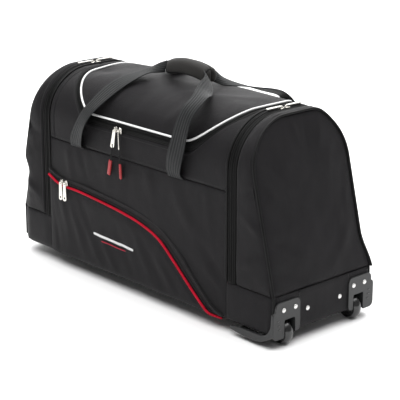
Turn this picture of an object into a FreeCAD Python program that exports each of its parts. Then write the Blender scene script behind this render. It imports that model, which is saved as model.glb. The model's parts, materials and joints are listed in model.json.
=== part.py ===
import FreeCAD, Part

# Rolling duffel bag: fabric shell on a stiff base, with a zipped lid, end pockets, two carry
# handles, a two-stage pull handle at -X and two wheels at +X.
# Frame: +X towards the wheels, -Y the front with the pocket, +Z up. The origin is on the floor,
# under the middle of the bag. Millimetres throughout.

import os
import re

import Sketcher

Vector = FreeCAD.Vector
Rotation = FreeCAD.Rotation
Placement = FreeCAD.Placement

X_AXIS = Vector(1, 0, 0)
Y_AXIS = Vector(0, 1, 0)
Z_AXIS = Vector(0, 0, 1)

SIZES = {
    # fabric shell
    "half_length": 385,  # end of the base, each way from the middle
    "half_width": 131,
    "base_bottom": 24,
    "sheet_thick": 3,
    "arch_top": 404,
    "arch_radius": 95,
    "seam_height": 271,  # seam between the lower and the upper side panels
    "band_top": 100,  # height of the base fabric where it wraps up round the ends
    "panel_end": 264,  # the side panels end here and the end zip's tape starts
    "tape_end": 286,  # the end zip's tape ends here and the gusset starts
    "end_lean": 13.3,  # degrees that the end panels lean inward
    "cap_end": 386,  # outer face of the end panel at its lower edge
    "body_gap": 0.3,  # clearance between pieces that move apart
    "partition_place": 268,
    "partition_inset": 3.3,
    # lid, and the zip round it, seen from above
    "lid_half_length": 236,
    "lid_half_width": 125,
    "lid_corner": 100,
    "lid_shift": 8,  # the lid and its zip sit off the middle, towards the wheels
    "lid_relief": 2.8,  # the lid stops short at its hinge, so that its corners lift clear
    "zip_half_length": 252,
    "zip_half_width": 129.4,
    "zip_corner": 105,
    "zip_base": 318,
    "piping_width": 4,
    "piping_height": 2.5,
    # stiffener
    "board_start": 330,
    "board_end": 325,
    "board_half_width": 120,
    "board_bottom": 55,
    "board_thick": 3,
    # front pocket: the edge falls gently, then bends down to the base
    "pocket_start": 245,
    "pocket_high": 189,
    "pocket_bend_x": 23,
    "pocket_bend_z": 164,
    "pocket_drop_x": 123,
    "pocket_drop_z": 101,
    "pocket_foot_x": 213,
    "pocket_tape_wide": 15,
    # wheels and their housings
    "wheel_place_x": 367,
    "wheel_place_y": 92,
    "wheel_radius": 25,
    "wheel_width": 20,
    "hub_radius": 17,
    "hub_width": 18,
    "axle_radius": 3,
    "hub_bore": 3.05,
    "tread_round": 5,
    "spoke_hole": 2.4,
    "spoke_ring": 10.5,
    "housing_inner": 65,
    "housing_outer": 134,
    "housing_height": 90,
    "housing_round": 12,
    "housing_start": 276,
    "housing_face": 388,
    "housing_wall": 2.5,
    "flank_curve": 30,
    "flank_back": 4,
    "skid_bottom": 8,
    "skid_width": 14,
    "skid_round": 12,
    "well_start": 336,
    "well_half_width": 16,
    "well_top": 58,
    "rivet_radius": 4.5,
    "rivet_height": 1.6,
    "rivet_inner": 78,
    "rivet_outer": 108,
    "rivet_level": 74,
    "foot_rivet_level": 61,
    # pull handle
    "tube_place_y": 43,
    "tube_level": 45,
    "outer_tube_radius": 9.5,
    "middle_tube_radius": 8.2,
    "inner_tube_radius": 6.9,
    "tube_wall": 1,
    "outer_tube_start": 340,
    "outer_tube_end": 379,
    "middle_tube_start": 344,
    "middle_tube_end": 70,
    "inner_tube_start": 366,
    "inner_tube_end": 20,
    "bracket_half_width": 62,
    "bracket_bottom": 30,
    "bracket_top": 70,
    "socket_radius": 12.5,
    "socket_length": 15,
    "grip_face": 390,
    "grip_depth": 18,
    "grip_half_width": 60,
    "grip_height": 18,
    "grip_round": 5,
    "neck_radius": 9.8,
    "neck_end": 350,
    "button_face": 392,
    "button_length": 12,
    "button_width": 24,
    "button_height": 8,
    "button_round": 1.5,
    "button_gap": 0.4,
    "button_travel": 4.4,
    "cup_half_width": 78,
    "cup_bottom": 28.5,
    "cup_top": 79.5,
    "cup_wall": 2.5,
    "flange_face": 388,
    "flange_half_width": 86,
    "flange_top": 92,
    "flange_round": 10,
    # feet at the pull-handle end
    "feet_place_x": 300,
    "feet_place_y": 40,
    "feet_radius": 18,
    # carry handles
    "webbing_thick": 3,
    "grip_pad_start": 44,
    "grip_pad_end": 76,
    "grip_pad_level": 442,
    "grip_pad_radius": 17.5,
    # zip sliders and pullers
    "slider_width": 10,
    "slider_height": 12,
    "slider_thick": 5,
    "slider_round": 2,
    "puller_width": 8,
    "puller_length": 38,
    "puller_thick": 2,
    "puller_round": 3,
    "puller_hole": 1.6,
    "puller_lift": 1,
    "main_slider_level": 328,
    "main_slider_face": 135.7,
    "main_slider_left": 46,
    "main_slider_right": 34,
    "main_left_tilt": 12,
    "main_right_tilt": -3,
    "cord_length": 27,
    "cord_width": 5,
    "cord_thick": 2.4,
    "tag_length": 29,
    "tag_width": 9,
    "tag_thick": 4,
    "tag_round": 1.5,
    "pocket_slider_left": 218,
    "pocket_slider_right": 205,
    "pocket_slider_level": 186,
    "pocket_slider_face": 140,
    "end_slider_place": 275,
    "end_slider_from_ridge": 7,
    "end_slider_face": 409.5,
}

doc = FreeCAD.newDocument("rolling_duffel_bag")
sheet = doc.addObject("Spreadsheet::Sheet", "Sizes")
nodes = {}


def fill_sheet():
    for row, (name, value) in enumerate(SIZES.items(), start=1):
        sheet.set(f"A{row}", name)
        sheet.set(f"B{row}", str(value))
        sheet.setAlias(f"B{row}", name)
    doc.recompute()


def size(name):
    """A size's value, read from the sheet."""
    return float(sheet.get(name))


def bind(thing, **sizes):
    """Bind properties to sums of the sheet's cells; every alias has an underscore in it."""
    for name, words in sizes.items():
        cells = re.sub(r"\b([a-z]+(?:_[a-z]+)+)\b", r"Sizes.\1", str(words))
        thing.setExpression(name.replace("__", "."), cells)


def keep(thing, node):
    """Make an object one of the bag's sub-parts."""
    thing.Label = node
    nodes[node] = thing
    return thing


# Solids and booleans


def box(name, x, y, z):
    """A box between two cells or sums of cells along each axis."""
    made = doc.addObject("Part::Box", name)
    for edge, axis, (low, high) in (("Length", "x", x), ("Width", "y", y), ("Height", "z", z)):
        bind(made, **{edge: f"({high}) - ({low})", f"Placement__Base__{axis}": low})
    return made


def cylinder(name, radius, length, direction, place):
    """A cylinder that starts at a place, given as three cells or sums, and runs one way."""
    made = doc.addObject("Part::Cylinder", name)
    made.Placement = Placement(Vector(), Rotation(Z_AXIS, direction))
    bind(made, Radius=radius, Height=length)
    bind(made, Placement__Base__x=place[0], Placement__Base__y=place[1], Placement__Base__z=place[2])
    return made


def cut(name, base, tool):
    made = doc.addObject("Part::Cut", name)
    made.Base = base
    made.Tool = tool
    return made


def common(name, *shapes):
    made = doc.addObject("Part::MultiCommon", name)
    made.Shapes = list(shapes)
    return made


def fuse(name, *shapes):
    made = doc.addObject("Part::MultiFuse", name)
    made.Shapes = list(shapes)
    return made


def group(name, *shapes):
    """Separate solids that share one node."""
    made = doc.addObject("Part::Compound", name)
    made.Links = list(shapes)
    return made


def edge_numbers(shape, wanted):
    """The numbers of a shape's straight edges whose middle and direction are wanted."""
    found = []
    for number, edge in enumerate(shape.Edges, start=1):
        ends = [vertex.Point for vertex in edge.Vertexes]
        if len(ends) == 2 and wanted(edge.CenterOfMass, (ends[1] - ends[0]).normalize()):
            found.append(number)
    return found


def fillet(name, base, radius, wanted):
    doc.recompute()
    made = doc.addObject("Part::Fillet", name)
    made.Base = base
    made.Edges = [(number, radius, radius) for number in edge_numbers(base.Shape, wanted)]
    return made


def along(axis):
    return lambda direction: abs(abs(direction.dot(axis)) - 1) < 1e-6


def rounded_plan(name, half_length, half_width, corner, low, high, relief="0"):
    """A prism that is a rounded rectangle seen from above, cut short at the rear by a relief."""
    x_sides = (f"lid_shift - ({half_length})", f"lid_shift + {half_length}")
    y_sides = (f"-({half_width})", f"{half_width} - ({relief})")
    base = box(f"{name}_box", x_sides, y_sides, (low, high))
    upright = along(Z_AXIS)
    return fillet(name, base, corner, lambda middle, way: upright(way))


def arch(name, x, inset, low):
    """The bag's arched section, filled, shrunk by an inset and starting at a height."""
    side = f"half_width - {inset}"
    top = f"arch_top - {inset}"
    base = box(f"{name}_box", x, (f"-({side})", side), (low, top))
    shrink = float(inset) if isinstance(inset, (int, float)) else size(inset)
    ridge = size("arch_top") - shrink
    lengthwise = along(X_AXIS)
    return fillet(
        name,
        base,
        size("arch_radius") - shrink,
        lambda middle, way: lengthwise(way) and abs(middle.z - ridge) < 1e-6,
    )


def arch_shell(name, x, low):
    """A stretch of the bag's fabric arch, open underneath and at both ends."""
    inner = arch(f"{name}_inside", (f"{x[0]} - 1", f"{x[1]} + 1"), "sheet_thick", f"{low} - 1")
    return cut(name, arch(f"{name}_outside", x, 0, low), inner)


# Sketched pieces


def body(node):
    return keep(doc.addObject("PartDesign::Body", node), node)


def origin_part(owner, role):
    return next(part for part in owner.Origin.OriginFeatures if part.Role == role)


def sketch(owner, role):
    made = owner.newObject("Sketcher::SketchObject", f"{owner.Name}_sketch")
    made.AttachmentSupport = (origin_part(owner, role), [""])
    made.MapMode = "FlatFace"
    return made


def sketch_rectangle(owner, role, width, height):
    """A rectangle centred on the body's origin."""
    made = sketch(owner, role)
    corners = [Vector(-5, -5, 0), Vector(5, -5, 0), Vector(5, 5, 0), Vector(-5, 5, 0)]
    for start, end in zip(corners, corners[1:] + corners[:1]):
        made.addGeometry(Part.LineSegment(start, end))
    for line in range(4):
        made.addConstraint(Sketcher.Constraint("Coincident", line, 2, (line + 1) % 4, 1))
    for line, way in enumerate(("Horizontal", "Vertical", "Horizontal", "Vertical")):
        made.addConstraint(Sketcher.Constraint(way, line))
    made.addConstraint(Sketcher.Constraint("Symmetric", 0, 1, 2, 1, -1, 1))
    wide = made.addConstraint(Sketcher.Constraint("DistanceX", 0, 1, 0, 2, 10.0))
    tall = made.addConstraint(Sketcher.Constraint("DistanceY", 1, 1, 1, 2, 10.0))
    bind(made, **{f"Constraints[{wide}]": width, f"Constraints[{tall}]": height})
    return made


def sketch_circle(owner, role, radius, away=None):
    """A circle about the body's origin, or that far above it in the sketch."""
    made = sketch(owner, role)
    centre = Vector(0, 0 if away is None else size(away), 0)
    made.addGeometry(Part.Circle(centre, Z_AXIS, size(radius)))
    if away is None:
        made.addConstraint(Sketcher.Constraint("Coincident", 0, 3, -1, 1))
    else:
        made.addConstraint(Sketcher.Constraint("PointOnObject", 0, 3, -2))
        up = made.addConstraint(Sketcher.Constraint("DistanceY", -1, 1, 0, 3, centre.y))
        bind(made, **{f"Constraints[{up}]": away})
    wide = made.addConstraint(Sketcher.Constraint("Radius", 0, size(radius)))
    bind(made, **{f"Constraints[{wide}]": radius})
    return made


def pad(owner, profile, length):
    made = owner.newObject("PartDesign::Pad", f"{owner.Name}_pad")
    made.Profile = profile
    made.SideType = "Symmetric"
    bind(made, Length=length)
    return made


def pocket_through(owner, profile):
    made = owner.newObject("PartDesign::Pocket", f"{owner.Name}_pocket")
    made.Profile = profile
    made.SideType = "Symmetric"
    made.Type = "ThroughAll"
    return made


def round_edges(owner, base, radius, wanted):
    doc.recompute()
    made = owner.newObject("PartDesign::Fillet", f"{owner.Name}_fillet")
    made.Base = (base, [f"Edge{number}" for number in edge_numbers(base.Shape, wanted)])
    bind(made, Radius=radius)
    return made


def rounded_block(node, width, thick, height, radius, axis):
    """A block, X by Y by Z, about its own origin, with the edges along one axis rounded."""
    made = body(node)
    solid = pad(made, sketch_rectangle(made, "XZ_Plane", width, height), thick)
    chosen = along(axis)
    round_edges(made, solid, radius, lambda middle, way: chosen(way))
    return made


def place(thing, x, y, z):
    bind(thing, Placement__Base__x=x, Placement__Base__y=y, Placement__Base__z=z)


# Fabric shell

WHOLE_WIDTH = ("-half_width", "half_width")
BASE_LEVEL = ("base_bottom", "base_bottom + sheet_thick")
PANEL_SPAN = ("-panel_end", "panel_end")


def make_base():
    base = box("base_sheet", ("-half_length", "half_length"), WHOLE_WIDTH, BASE_LEVEL)
    wells = fuse("base_wells", well_space("front", -1), well_space("rear", 1))
    keep(cut("base_panel", base, wells), "base_panel")
    board = box(
        "base_board",
        ("-board_start", "board_end"),
        ("-board_half_width", "board_half_width"),
        ("board_bottom", "board_bottom + board_thick"),
    )
    keep(board, "base_board")


def side_of_bag(side, inner, outer):
    """A span across the bag, from an inner to an outer cell, at the front (-1) or rear (1)."""
    return (f"-({outer})", f"-({inner})") if side < 0 else (inner, outer)


def make_side_panels():
    shell = arch_shell("upper_shell", PANEL_SPAN, "seam_height")
    opening = rounded_plan(
        "zip_plan", "zip_half_length", "zip_half_width", size("zip_corner"), "zip_base", "arch_top + 20"
    )
    upper = cut("upper_panels", shell, opening)
    for side, word in ((-1, "front"), (1, "rear")):
        lower = box(
            f"{word}_lower_panel",
            PANEL_SPAN,
            side_of_bag(side, "half_width - sheet_thick", "half_width"),
            ("base_bottom + sheet_thick", "seam_height"),
        )
        keep(lower, f"{word}_lower_panel")
        half = box(
            f"{word}_half",
            ("-half_length", "half_length"),
            side_of_bag(side, "0", "half_width + 10"),
            ("seam_height - 1", "arch_top + 1"),
        )
        keep(common(f"{word}_upper_panel", upper, half), f"{word}_upper_panel")


def make_lid():
    """The lid, its piping and the zip's tape, cut from the arch by outlines seen from above."""
    shell = arch_shell("lid_shell", PANEL_SPAN, "seam_height")
    top = "arch_top + 20"
    lid_plan = rounded_plan(
        "lid_plan",
        "lid_half_length",
        "lid_half_width",
        size("lid_corner"),
        "zip_base",
        top,
        relief="lid_relief",
    )
    keep(common("lid_panel", shell, lid_plan), "lid_panel")

    outer = rounded_plan(
        "tape_outer", "zip_half_length", "zip_half_width", size("zip_corner"), "zip_base", top
    )
    inner = rounded_plan(
        "tape_inner",
        "lid_half_length + body_gap",
        "lid_half_width + body_gap",
        size("lid_corner") + size("body_gap"),
        "zip_base - 1",
        "arch_top + 21",
    )
    tape_plan = cut("tape_plan", outer, inner)
    keep(common("main_zipper_tape", shell, tape_plan), "main_zipper_tape")

    raised = arch("piping_outside", PANEL_SPAN, -size("piping_height"), "seam_height")
    core = arch("piping_inside", ("-panel_end - 1", "panel_end + 1"), 0, "seam_height - 1")
    narrow = rounded_plan(
        "piping_inner",
        "lid_half_length - piping_width",
        "lid_half_width - piping_width",
        size("lid_corner") - size("piping_width"),
        "zip_base - 1",
        "arch_top + 21",
        relief="lid_relief",
    )
    ring = cut("piping_ring", lid_plan, narrow)
    piping = common("lid_piping", cut("piping_shell", raised, core), ring)
    keep(piping, "lid_piping")


def x_span(side, near, far):
    """A span along the bag, from a near to a far cell, at the right (1) or left (-1) end."""
    return (near, far) if side > 0 else (f"-({far})", f"-({near})")


def leaning_block(name, side, behind, ahead):
    """A block on the end panel's outer face, from behind it to ahead of it, that leans with it."""
    made = doc.addObject("Part::Box", name)
    made.Length = behind + ahead
    bind(made, Width="2 * half_width + 20", Height="arch_top + 100")
    lean = Rotation(Y_AXIS, -side * size("end_lean"))
    foot = Vector(side * size("cap_end"), 0, size("band_top"))
    start = -behind if side > 0 else -ahead
    local = Vector(start, -size("half_width") - 10, -50)
    made.Placement = Placement(foot, lean).multiply(Placement(local, Rotation()))
    return made


def make_end(side, word):
    """One end pocket: the gusset round it and the leaning panel, above the base band."""
    low = "band_top + body_gap"
    gusset_span = x_span(side, "tape_end + body_gap", "half_length + 20")
    shell = arch_shell(f"{word}_gusset_shell", gusset_span, low)
    beyond = leaning_block(f"{word}_beyond", side, size("sheet_thick"), 150)
    keep(cut(f"{word}_gusset", shell, beyond), f"{word}_gusset")
    filled = arch(f"{word}_end_filled", gusset_span, 0, low)
    slab = leaning_block(f"{word}_slab", side, size("sheet_thick"), 0)
    keep(common(f"{word}_end_panel", filled, slab), f"{word}_end_panel")


def make_end_tapes():
    tapes = []
    walls = []
    for side, word in ((-1, "left"), (1, "right")):
        tapes.append(arch_shell(f"{word}_zip", x_span(side, "panel_end", "tape_end"), "band_top"))
        place_x = x_span(side, "partition_place - sheet_thick", "partition_place")
        walls.append(arch(f"{word}_partition", place_x, "partition_inset", "board_bottom + board_thick"))
    keep(group("end_zipper_tapes", *tapes), "end_zipper_tapes")
    keep(group("partitions", *walls), "partitions")


def make_lower_end(side, word, opening):
    """The base fabric that wraps up round one end, with an opening through its end wall."""
    level = ("base_bottom + sheet_thick", "band_top")
    outside = box(f"{word}_band", x_span(side, "panel_end", "half_length"), WHOLE_WIDTH, level)
    inside = box(
        f"{word}_band_inside",
        x_span(side, "panel_end - 1", "half_length - sheet_thick"),
        ("-half_width + sheet_thick", "half_width - sheet_thick"),
        ("base_bottom", "band_top + 1"),
    )
    walls = cut(f"{word}_band_walls", outside, inside)
    keep(cut(f"{word}_lower_end", walls, opening), f"{word}_lower_end")


# Front pocket


def pocket_edge(rise):
    """The pocket's edge, raised by an amount, as a straight, an arc and a straight."""
    depth = -size("half_width")
    start = Vector(-size("pocket_start"), depth, size("pocket_high") + rise)
    bend = Vector(-size("pocket_bend_x") + rise / 3, depth, size("pocket_bend_z") + rise)
    drop = Vector(size("pocket_drop_x") + rise, depth, size("pocket_drop_z") + rise / 2)
    foot = Vector(size("pocket_foot_x") + rise, depth, size("base_bottom") + size("sheet_thick"))
    middle = bend + (drop - bend) * 0.55 + Vector(0.35, 0, 0.94) * (drop - bend).Length * 0.1
    arc = Part.Arc(bend, middle, drop)
    return [Part.LineSegment(start, bend), arc, Part.LineSegment(drop, foot)], start, foot


def extruded(node, curves, thick):
    """A plate on the front panel with the outline that the curves make in order."""
    outline = Part.Wire(Part.__sortEdges__([curve.toShape() for curve in curves]))
    made = doc.addObject("Part::Feature", node)
    made.Shape = Part.Face(outline).extrude(Vector(0, -thick, 0))
    return keep(made, node)


def make_front_pocket():
    edge, start, foot = pocket_edge(0)
    upper, upper_start, upper_foot = pocket_edge(size("pocket_tape_wide"))
    corner = Vector(start.x, start.y, foot.z)
    closing = [Part.LineSegment(foot, corner), Part.LineSegment(corner, start)]
    extruded("front_pocket_panel", edge + closing, size("sheet_thick"))
    ends = [Part.LineSegment(start, upper_start), Part.LineSegment(foot, upper_foot)]
    extruded("pocket_zipper_tape", edge + upper + ends, size("sheet_thick") * 0.8)


# Wheels


def well_space(word, side):
    """The room that one wheel well takes through the base and the end wall."""
    middle = f"{side} * wheel_place_y"
    return box(
        f"{word}_well_space",
        ("well_start", "half_length"),
        (f"{middle} - well_half_width", f"{middle} + well_half_width"),
        ("base_bottom", "well_top"),
    )


def make_wheel_housing(side, word):
    """A moulded corner: end plate, side flank with a hollow curve, skid and wheel well."""
    low = "base_bottom"
    face = box(
        f"{word}_plate_box",
        ("half_length", "housing_face"),
        side_of_bag(side, "housing_inner", "housing_outer"),
        (low, "housing_height"),
    )
    lengthwise = along(X_AXIS)
    top = size("housing_height")
    plate = fillet(
        f"{word}_plate",
        face,
        size("housing_round"),
        lambda middle, way: lengthwise(way) and abs(middle.z - top) < 1e-6,
    )
    column = "half_length - flank_back"
    bend = f"{column} - flank_curve"
    flank_box = box(
        f"{word}_flank_box",
        (bend, "half_length"),
        side_of_bag(side, "half_width", "housing_outer"),
        (low, "housing_height - housing_round"),
    )
    hollow_centre = (bend, "-housing_outer - 5" if side < 0 else "half_width - 5", f"{low} + flank_curve")
    hollow = cylinder(f"{word}_hollow", "flank_curve", "sheet_thick + 10", Y_AXIS, hollow_centre)
    beside = box(
        f"{word}_beside_column",
        (f"{bend} - 1", column),
        side_of_bag(side, "half_width - 1", "housing_outer + 1"),
        (f"{low} + flank_curve", "housing_height"),
    )
    flank = cut(f"{word}_flank", flank_box, fuse(f"{word}_flank_tool", hollow, beside))
    skid_box = box(
        f"{word}_skid_box",
        ("housing_start", "housing_face"),
        side_of_bag(side, "housing_outer - skid_width", "housing_outer"),
        ("skid_bottom", low),
    )
    crosswise = along(Y_AXIS)
    under = size("skid_bottom")
    skid = fillet(
        f"{word}_skid",
        skid_box,
        size("skid_round"),
        lambda middle, way: crosswise(way) and abs(middle.z - under) < 1e-6,
    )
    middle_y = f"{side} * wheel_place_y"
    inner_half = "well_half_width - housing_wall"
    well = well_space(f"{word}_housing", side)
    shell = fuse(f"{word}_housing_solid", plate, flank, skid, well)
    space = box(
        f"{word}_wheel_space",
        ("well_start + housing_wall", "housing_face + 5"),
        (f"{middle_y} - ({inner_half})", f"{middle_y} + {inner_half}"),
        ("skid_bottom - 5", "well_top - housing_wall"),
    )
    axle_start = ("wheel_place_x", f"{middle_y} - well_half_width - 1", "wheel_radius")
    bore = cylinder(f"{word}_axle_bore", "axle_radius", "2 * well_half_width + 2", Y_AXIS, axle_start)
    tool = fuse(f"{word}_housing_tool", space, bore)
    keep(cut(f"{word}_wheel_housing", shell, tool), f"{word}_wheel_housing")


def make_wheel(side, word):
    """A rubber tyre on a plastic hub; both are bodies about the axle."""
    tyre = body(f"{word}_tyre")
    pad(tyre, sketch_circle(tyre, "XZ_Plane", "wheel_radius"), "wheel_width")
    hollow = pocket_through(tyre, sketch_circle(tyre, "XZ_Plane", "hub_radius"))
    doc.recompute()
    rims = [
        f"Edge{number}"
        for number, edge in enumerate(hollow.Shape.Edges, start=1)
        if getattr(edge.Curve, "Radius", 0) > size("wheel_radius") - 0.1 and len(edge.Vertexes) == 1
    ]
    shoulder = tyre.newObject("PartDesign::Fillet", f"{word}_shoulder")
    shoulder.Base = (hollow, rims)
    bind(shoulder, Radius="tread_round")

    hub = body(f"{word}_hub")
    pad(hub, sketch_circle(hub, "XZ_Plane", "hub_radius"), "hub_width")
    pocket_through(hub, sketch_circle(hub, "XZ_Plane", "hub_bore"))
    hole = pocket_through(hub, sketch_circle(hub, "XZ_Plane", "spoke_hole", away="spoke_ring"))
    doc.recompute()
    ring = hub.newObject("PartDesign::PolarPattern", f"{word}_hub_holes")
    ring.Originals = [hole]
    ring.Axis = (origin_part(hub, "Y_Axis"), [""])
    ring.Angle = 360
    ring.Occurrences = 6
    hub.Tip = ring
    for piece in (tyre, hub):
        place(piece, "wheel_place_x", f"{side} * wheel_place_y", "wheel_radius")


def make_axles():
    pins = []
    for side, word in ((-1, "front"), (1, "rear")):
        start = ("wheel_place_x", f"{side} * wheel_place_y - well_half_width", "wheel_radius")
        pins.append(cylinder(f"{word}_axle", "axle_radius", "2 * well_half_width", Y_AXIS, start))
    keep(group("wheel_axles", *pins), "wheel_axles")


def rivet(name, face, across, level):
    """A flat-topped rivet head that stands on a face, pointing along +X."""
    head = doc.addObject("Part::Cone", name)
    head.Placement = Placement(Vector(), Rotation(Z_AXIS, X_AXIS))
    bind(head, Radius1="rivet_radius", Radius2="rivet_radius * 0.75", Height="rivet_height")
    place(head, face, across, level)
    return head


def make_rivets():
    heads = []
    for side, word in ((-1, "front"), (1, "rear")):
        for place_y in ("rivet_inner", "rivet_outer"):
            name = f"{word}_{place_y}"
            heads.append(rivet(name, "housing_face", f"{side} * {place_y}", "rivet_level"))
        foot = f"{side} * tube_place_y"
        heads.append(rivet(f"{word}_foot_rivet", "half_length", foot, "foot_rivet_level"))
    keep(group("rivets", *heads), "rivets")


# Pull handle


def tube(name, radius, start, end, side):
    """One hollow tube along X at the front (-1) or rear (1), from -start to an end."""
    centre = (f"-({start})", f"{side} * tube_place_y", "tube_level")
    outside = cylinder(f"{name}_outside", radius, f"{end} + {start}", X_AXIS, centre)
    before = (f"-({start}) - 1", centre[1], centre[2])
    inside = cylinder(f"{name}_inside", f"{radius} - tube_wall", f"{end} + {start} + 2", X_AXIS, before)
    return cut(name, outside, inside)


def make_tubes():
    for node, word in (
        ("handle_outer_tubes", "outer_tube"),
        ("middle_tubes", "middle_tube"),
        ("inner_tubes", "inner_tube"),
    ):
        pair = [
            tube(f"{word}_{side + 2}", f"{word}_radius", f"{word}_start", f"{word}_end", side)
            for side in (-1, 1)
        ]
        keep(group(node, *pair), node)


def make_foot_bracket():
    """A plate inside the end wall, with a socket for the foot of each outer tube."""
    plate = box(
        "bracket_plate",
        ("outer_tube_end", "outer_tube_end + sheet_thick"),
        ("-bracket_half_width", "bracket_half_width"),
        ("bracket_bottom", "bracket_top"),
    )
    sockets = []
    bores = []
    for side in (-1, 1):
        start = ("outer_tube_end - socket_length", f"{side} * tube_place_y", "tube_level")
        sockets.append(cylinder(f"socket_{side + 2}", "socket_radius", "socket_length", X_AXIS, start))
        bores.append(cylinder(f"socket_bore_{side + 2}", "outer_tube_radius", "socket_length", X_AXIS, start))
    solid = fuse("bracket_solid", plate, *sockets)
    keep(cut("tube_foot_bracket", solid, fuse("bracket_bores", *bores)), "tube_foot_bracket")


def make_pull_grip():
    """The bar that is pulled, with a neck over each inner tube and a slot for the button."""
    low = "tube_level - grip_height / 2"
    high = "tube_level + grip_height / 2"
    block = box(
        "grip_block",
        ("-grip_face", "-grip_face + grip_depth"),
        ("-grip_half_width", "grip_half_width"),
        (low, high),
    )
    crosswise = along(Y_AXIS)
    bar = fillet("grip_bar", block, size("grip_round"), lambda middle, way: crosswise(way))
    necks = []
    bores = []
    for side in (-1, 1):
        start = ("-grip_face + grip_depth - 2", f"{side} * tube_place_y", "tube_level")
        reach = "grip_face - grip_depth - neck_end + 2"
        necks.append(cylinder(f"neck_{side + 2}", "neck_radius", reach, X_AXIS, start))
        inner = ("-inner_tube_start", f"{side} * tube_place_y", "tube_level")
        bores.append(cylinder(f"neck_bore_{side + 2}", "inner_tube_radius", "30", X_AXIS, inner))
    slot = box(
        "button_slot",
        ("-grip_face - 1", "-button_face + button_length + button_travel"),
        ("-button_width / 2 - button_gap", "button_width / 2 + button_gap"),
        ("tube_level - button_height / 2 - button_gap", "tube_level + button_height / 2 + button_gap"),
    )
    solid = fuse("grip_solid", bar, *necks)
    keep(cut("pull_grip", solid, fuse("grip_tool", slot, *bores)), "pull_grip")

    button = rounded_block(
        "release_button", "button_length", "button_width", "button_height", "button_round", Y_AXIS
    )
    place(button, "-button_face + button_length / 2", "0", "tube_level")


def cup_space():
    return box(
        "cup_space",
        ("-half_length", "-outer_tube_start + cup_wall"),
        ("-cup_half_width", "cup_half_width"),
        ("cup_bottom", "cup_top"),
    )


def make_handle_cup():
    """A recess in the end wall that the pull grip sits in, with a flange outside."""
    flange_box = box(
        "cup_flange_box",
        ("-flange_face", "-half_length"),
        ("-flange_half_width", "flange_half_width"),
        ("base_bottom + sheet_thick", "flange_top"),
    )
    lengthwise = along(X_AXIS)
    flange = fillet("cup_flange", flange_box, size("flange_round"), lambda middle, way: lengthwise(way))
    hollow = box(
        "cup_hollow",
        ("-flange_face - 1", "-outer_tube_start"),
        ("-cup_half_width + cup_wall", "cup_half_width - cup_wall"),
        ("cup_bottom + cup_wall", "cup_top - cup_wall"),
    )
    holes = [
        cylinder(
            f"cup_hole_{side + 2}",
            "outer_tube_radius",
            "cup_wall + 2",
            X_AXIS,
            ("-outer_tube_start - 1", f"{side} * tube_place_y", "tube_level"),
        )
        for side in (-1, 1)
    ]
    solid = fuse("cup_solid", flange, cup_space())
    keep(cut("handle_cup", solid, fuse("cup_tool", hollow, *holes)), "handle_cup")


def make_feet():
    feet = []
    for side in (-1, 1):
        start = ("-feet_place_x", f"{side} * feet_place_y", "0")
        feet.append(cylinder(f"foot_{side + 2}", "feet_radius", "base_bottom", Z_AXIS, start))
    keep(group("base_feet", *feet), "base_feet")


# Carry handles: each leg rises from the seam, bows over the lid and turns into the grip


# Centre and half-width vector of the webbing at each station of a leg, as at the front.
LEFT_LEG = (
    (Vector(-169.5, -134, 271), Vector(22.5, 0, 0)),
    (Vector(-163, -141, 290), Vector(21, -4, -7)),
    (Vector(-137, -146, 331), Vector(18.5, -9, -8)),
    (Vector(-117, -134, 363), Vector(20.5, -8, -3)),
    (Vector(-96, -87, 403), Vector(21, -6, -3)),
    (Vector(-68, -36, 426), Vector(16, -15, -1)),
    (Vector(-52, -17, 435), Vector(6, -9, -8)),
    (Vector(-44, -9, 438), Vector(0, 0, -12)),
)
RIGHT_LEG = (
    (Vector(126.5, -134, 271), Vector(22.5, 0, 0)),
    (Vector(128, -141, 290), Vector(22, -2, -4)),
    (Vector(138, -142, 325), Vector(22, -2, -5)),
    (Vector(153, -132, 390), Vector(21, -4, -3)),
    (Vector(155, -100, 420), Vector(21.5, 0, 2)),
    (Vector(133, -58, 424), Vector(18, 5, -9)),
    (Vector(102, -25, 432), Vector(8, 4, -11)),
    (Vector(76, -9, 438), Vector(0, 0, -12)),
)
REAR_RIGHT_LEG = (
    (Vector(126.5, -134, 271), Vector(22.5, 0, 0)),
    (Vector(128, -141, 290), Vector(22, -2, -4)),
    (Vector(140, -146, 328), Vector(21.5, -3, -5)),
    (Vector(153, -141, 366), Vector(20.5, -7, -4)),
    (Vector(143, -128, 391), Vector(18, 10, 8)),
    (Vector(108, -101, 399), Vector(14, 15, 7)),
    (Vector(75, -58, 412), Vector(19, 9, -2)),
    (Vector(73, -25, 427), Vector(8, 3, -11)),
    (Vector(76, -9, 438), Vector(0, 0, -12)),
)


def section(centre, half_width, normal):
    """A thin rectangle across the webbing."""
    lift = normal * (size("webbing_thick") / 2)
    corners = [
        centre + half_width + lift,
        centre - half_width + lift,
        centre - half_width - lift,
        centre + half_width - lift,
    ]
    return Part.makePolygon(corners + corners[:1])


def leg_shape(leg, side):
    """A leg at the front (-1), or its mirror image at the rear (1)."""
    stations = [
        (Vector(c.x, -side * c.y, c.z), Vector(half.x, -side * half.y, half.z)) for c, half in leg
    ]
    sections = []
    for number, (centre, half_width) in enumerate(stations):
        before = stations[max(number - 1, 0)][0]
        after = stations[min(number + 1, len(stations) - 1)][0]
        normal = (after - before).cross(half_width).normalize()
        if number in (0, len(stations) - 1):
            normal = Vector(0, 1 if normal.y > 0 else -1, 0)
        sections.append(section(centre, half_width, normal))
    return Part.makeLoft(sections, True, True)


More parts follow.
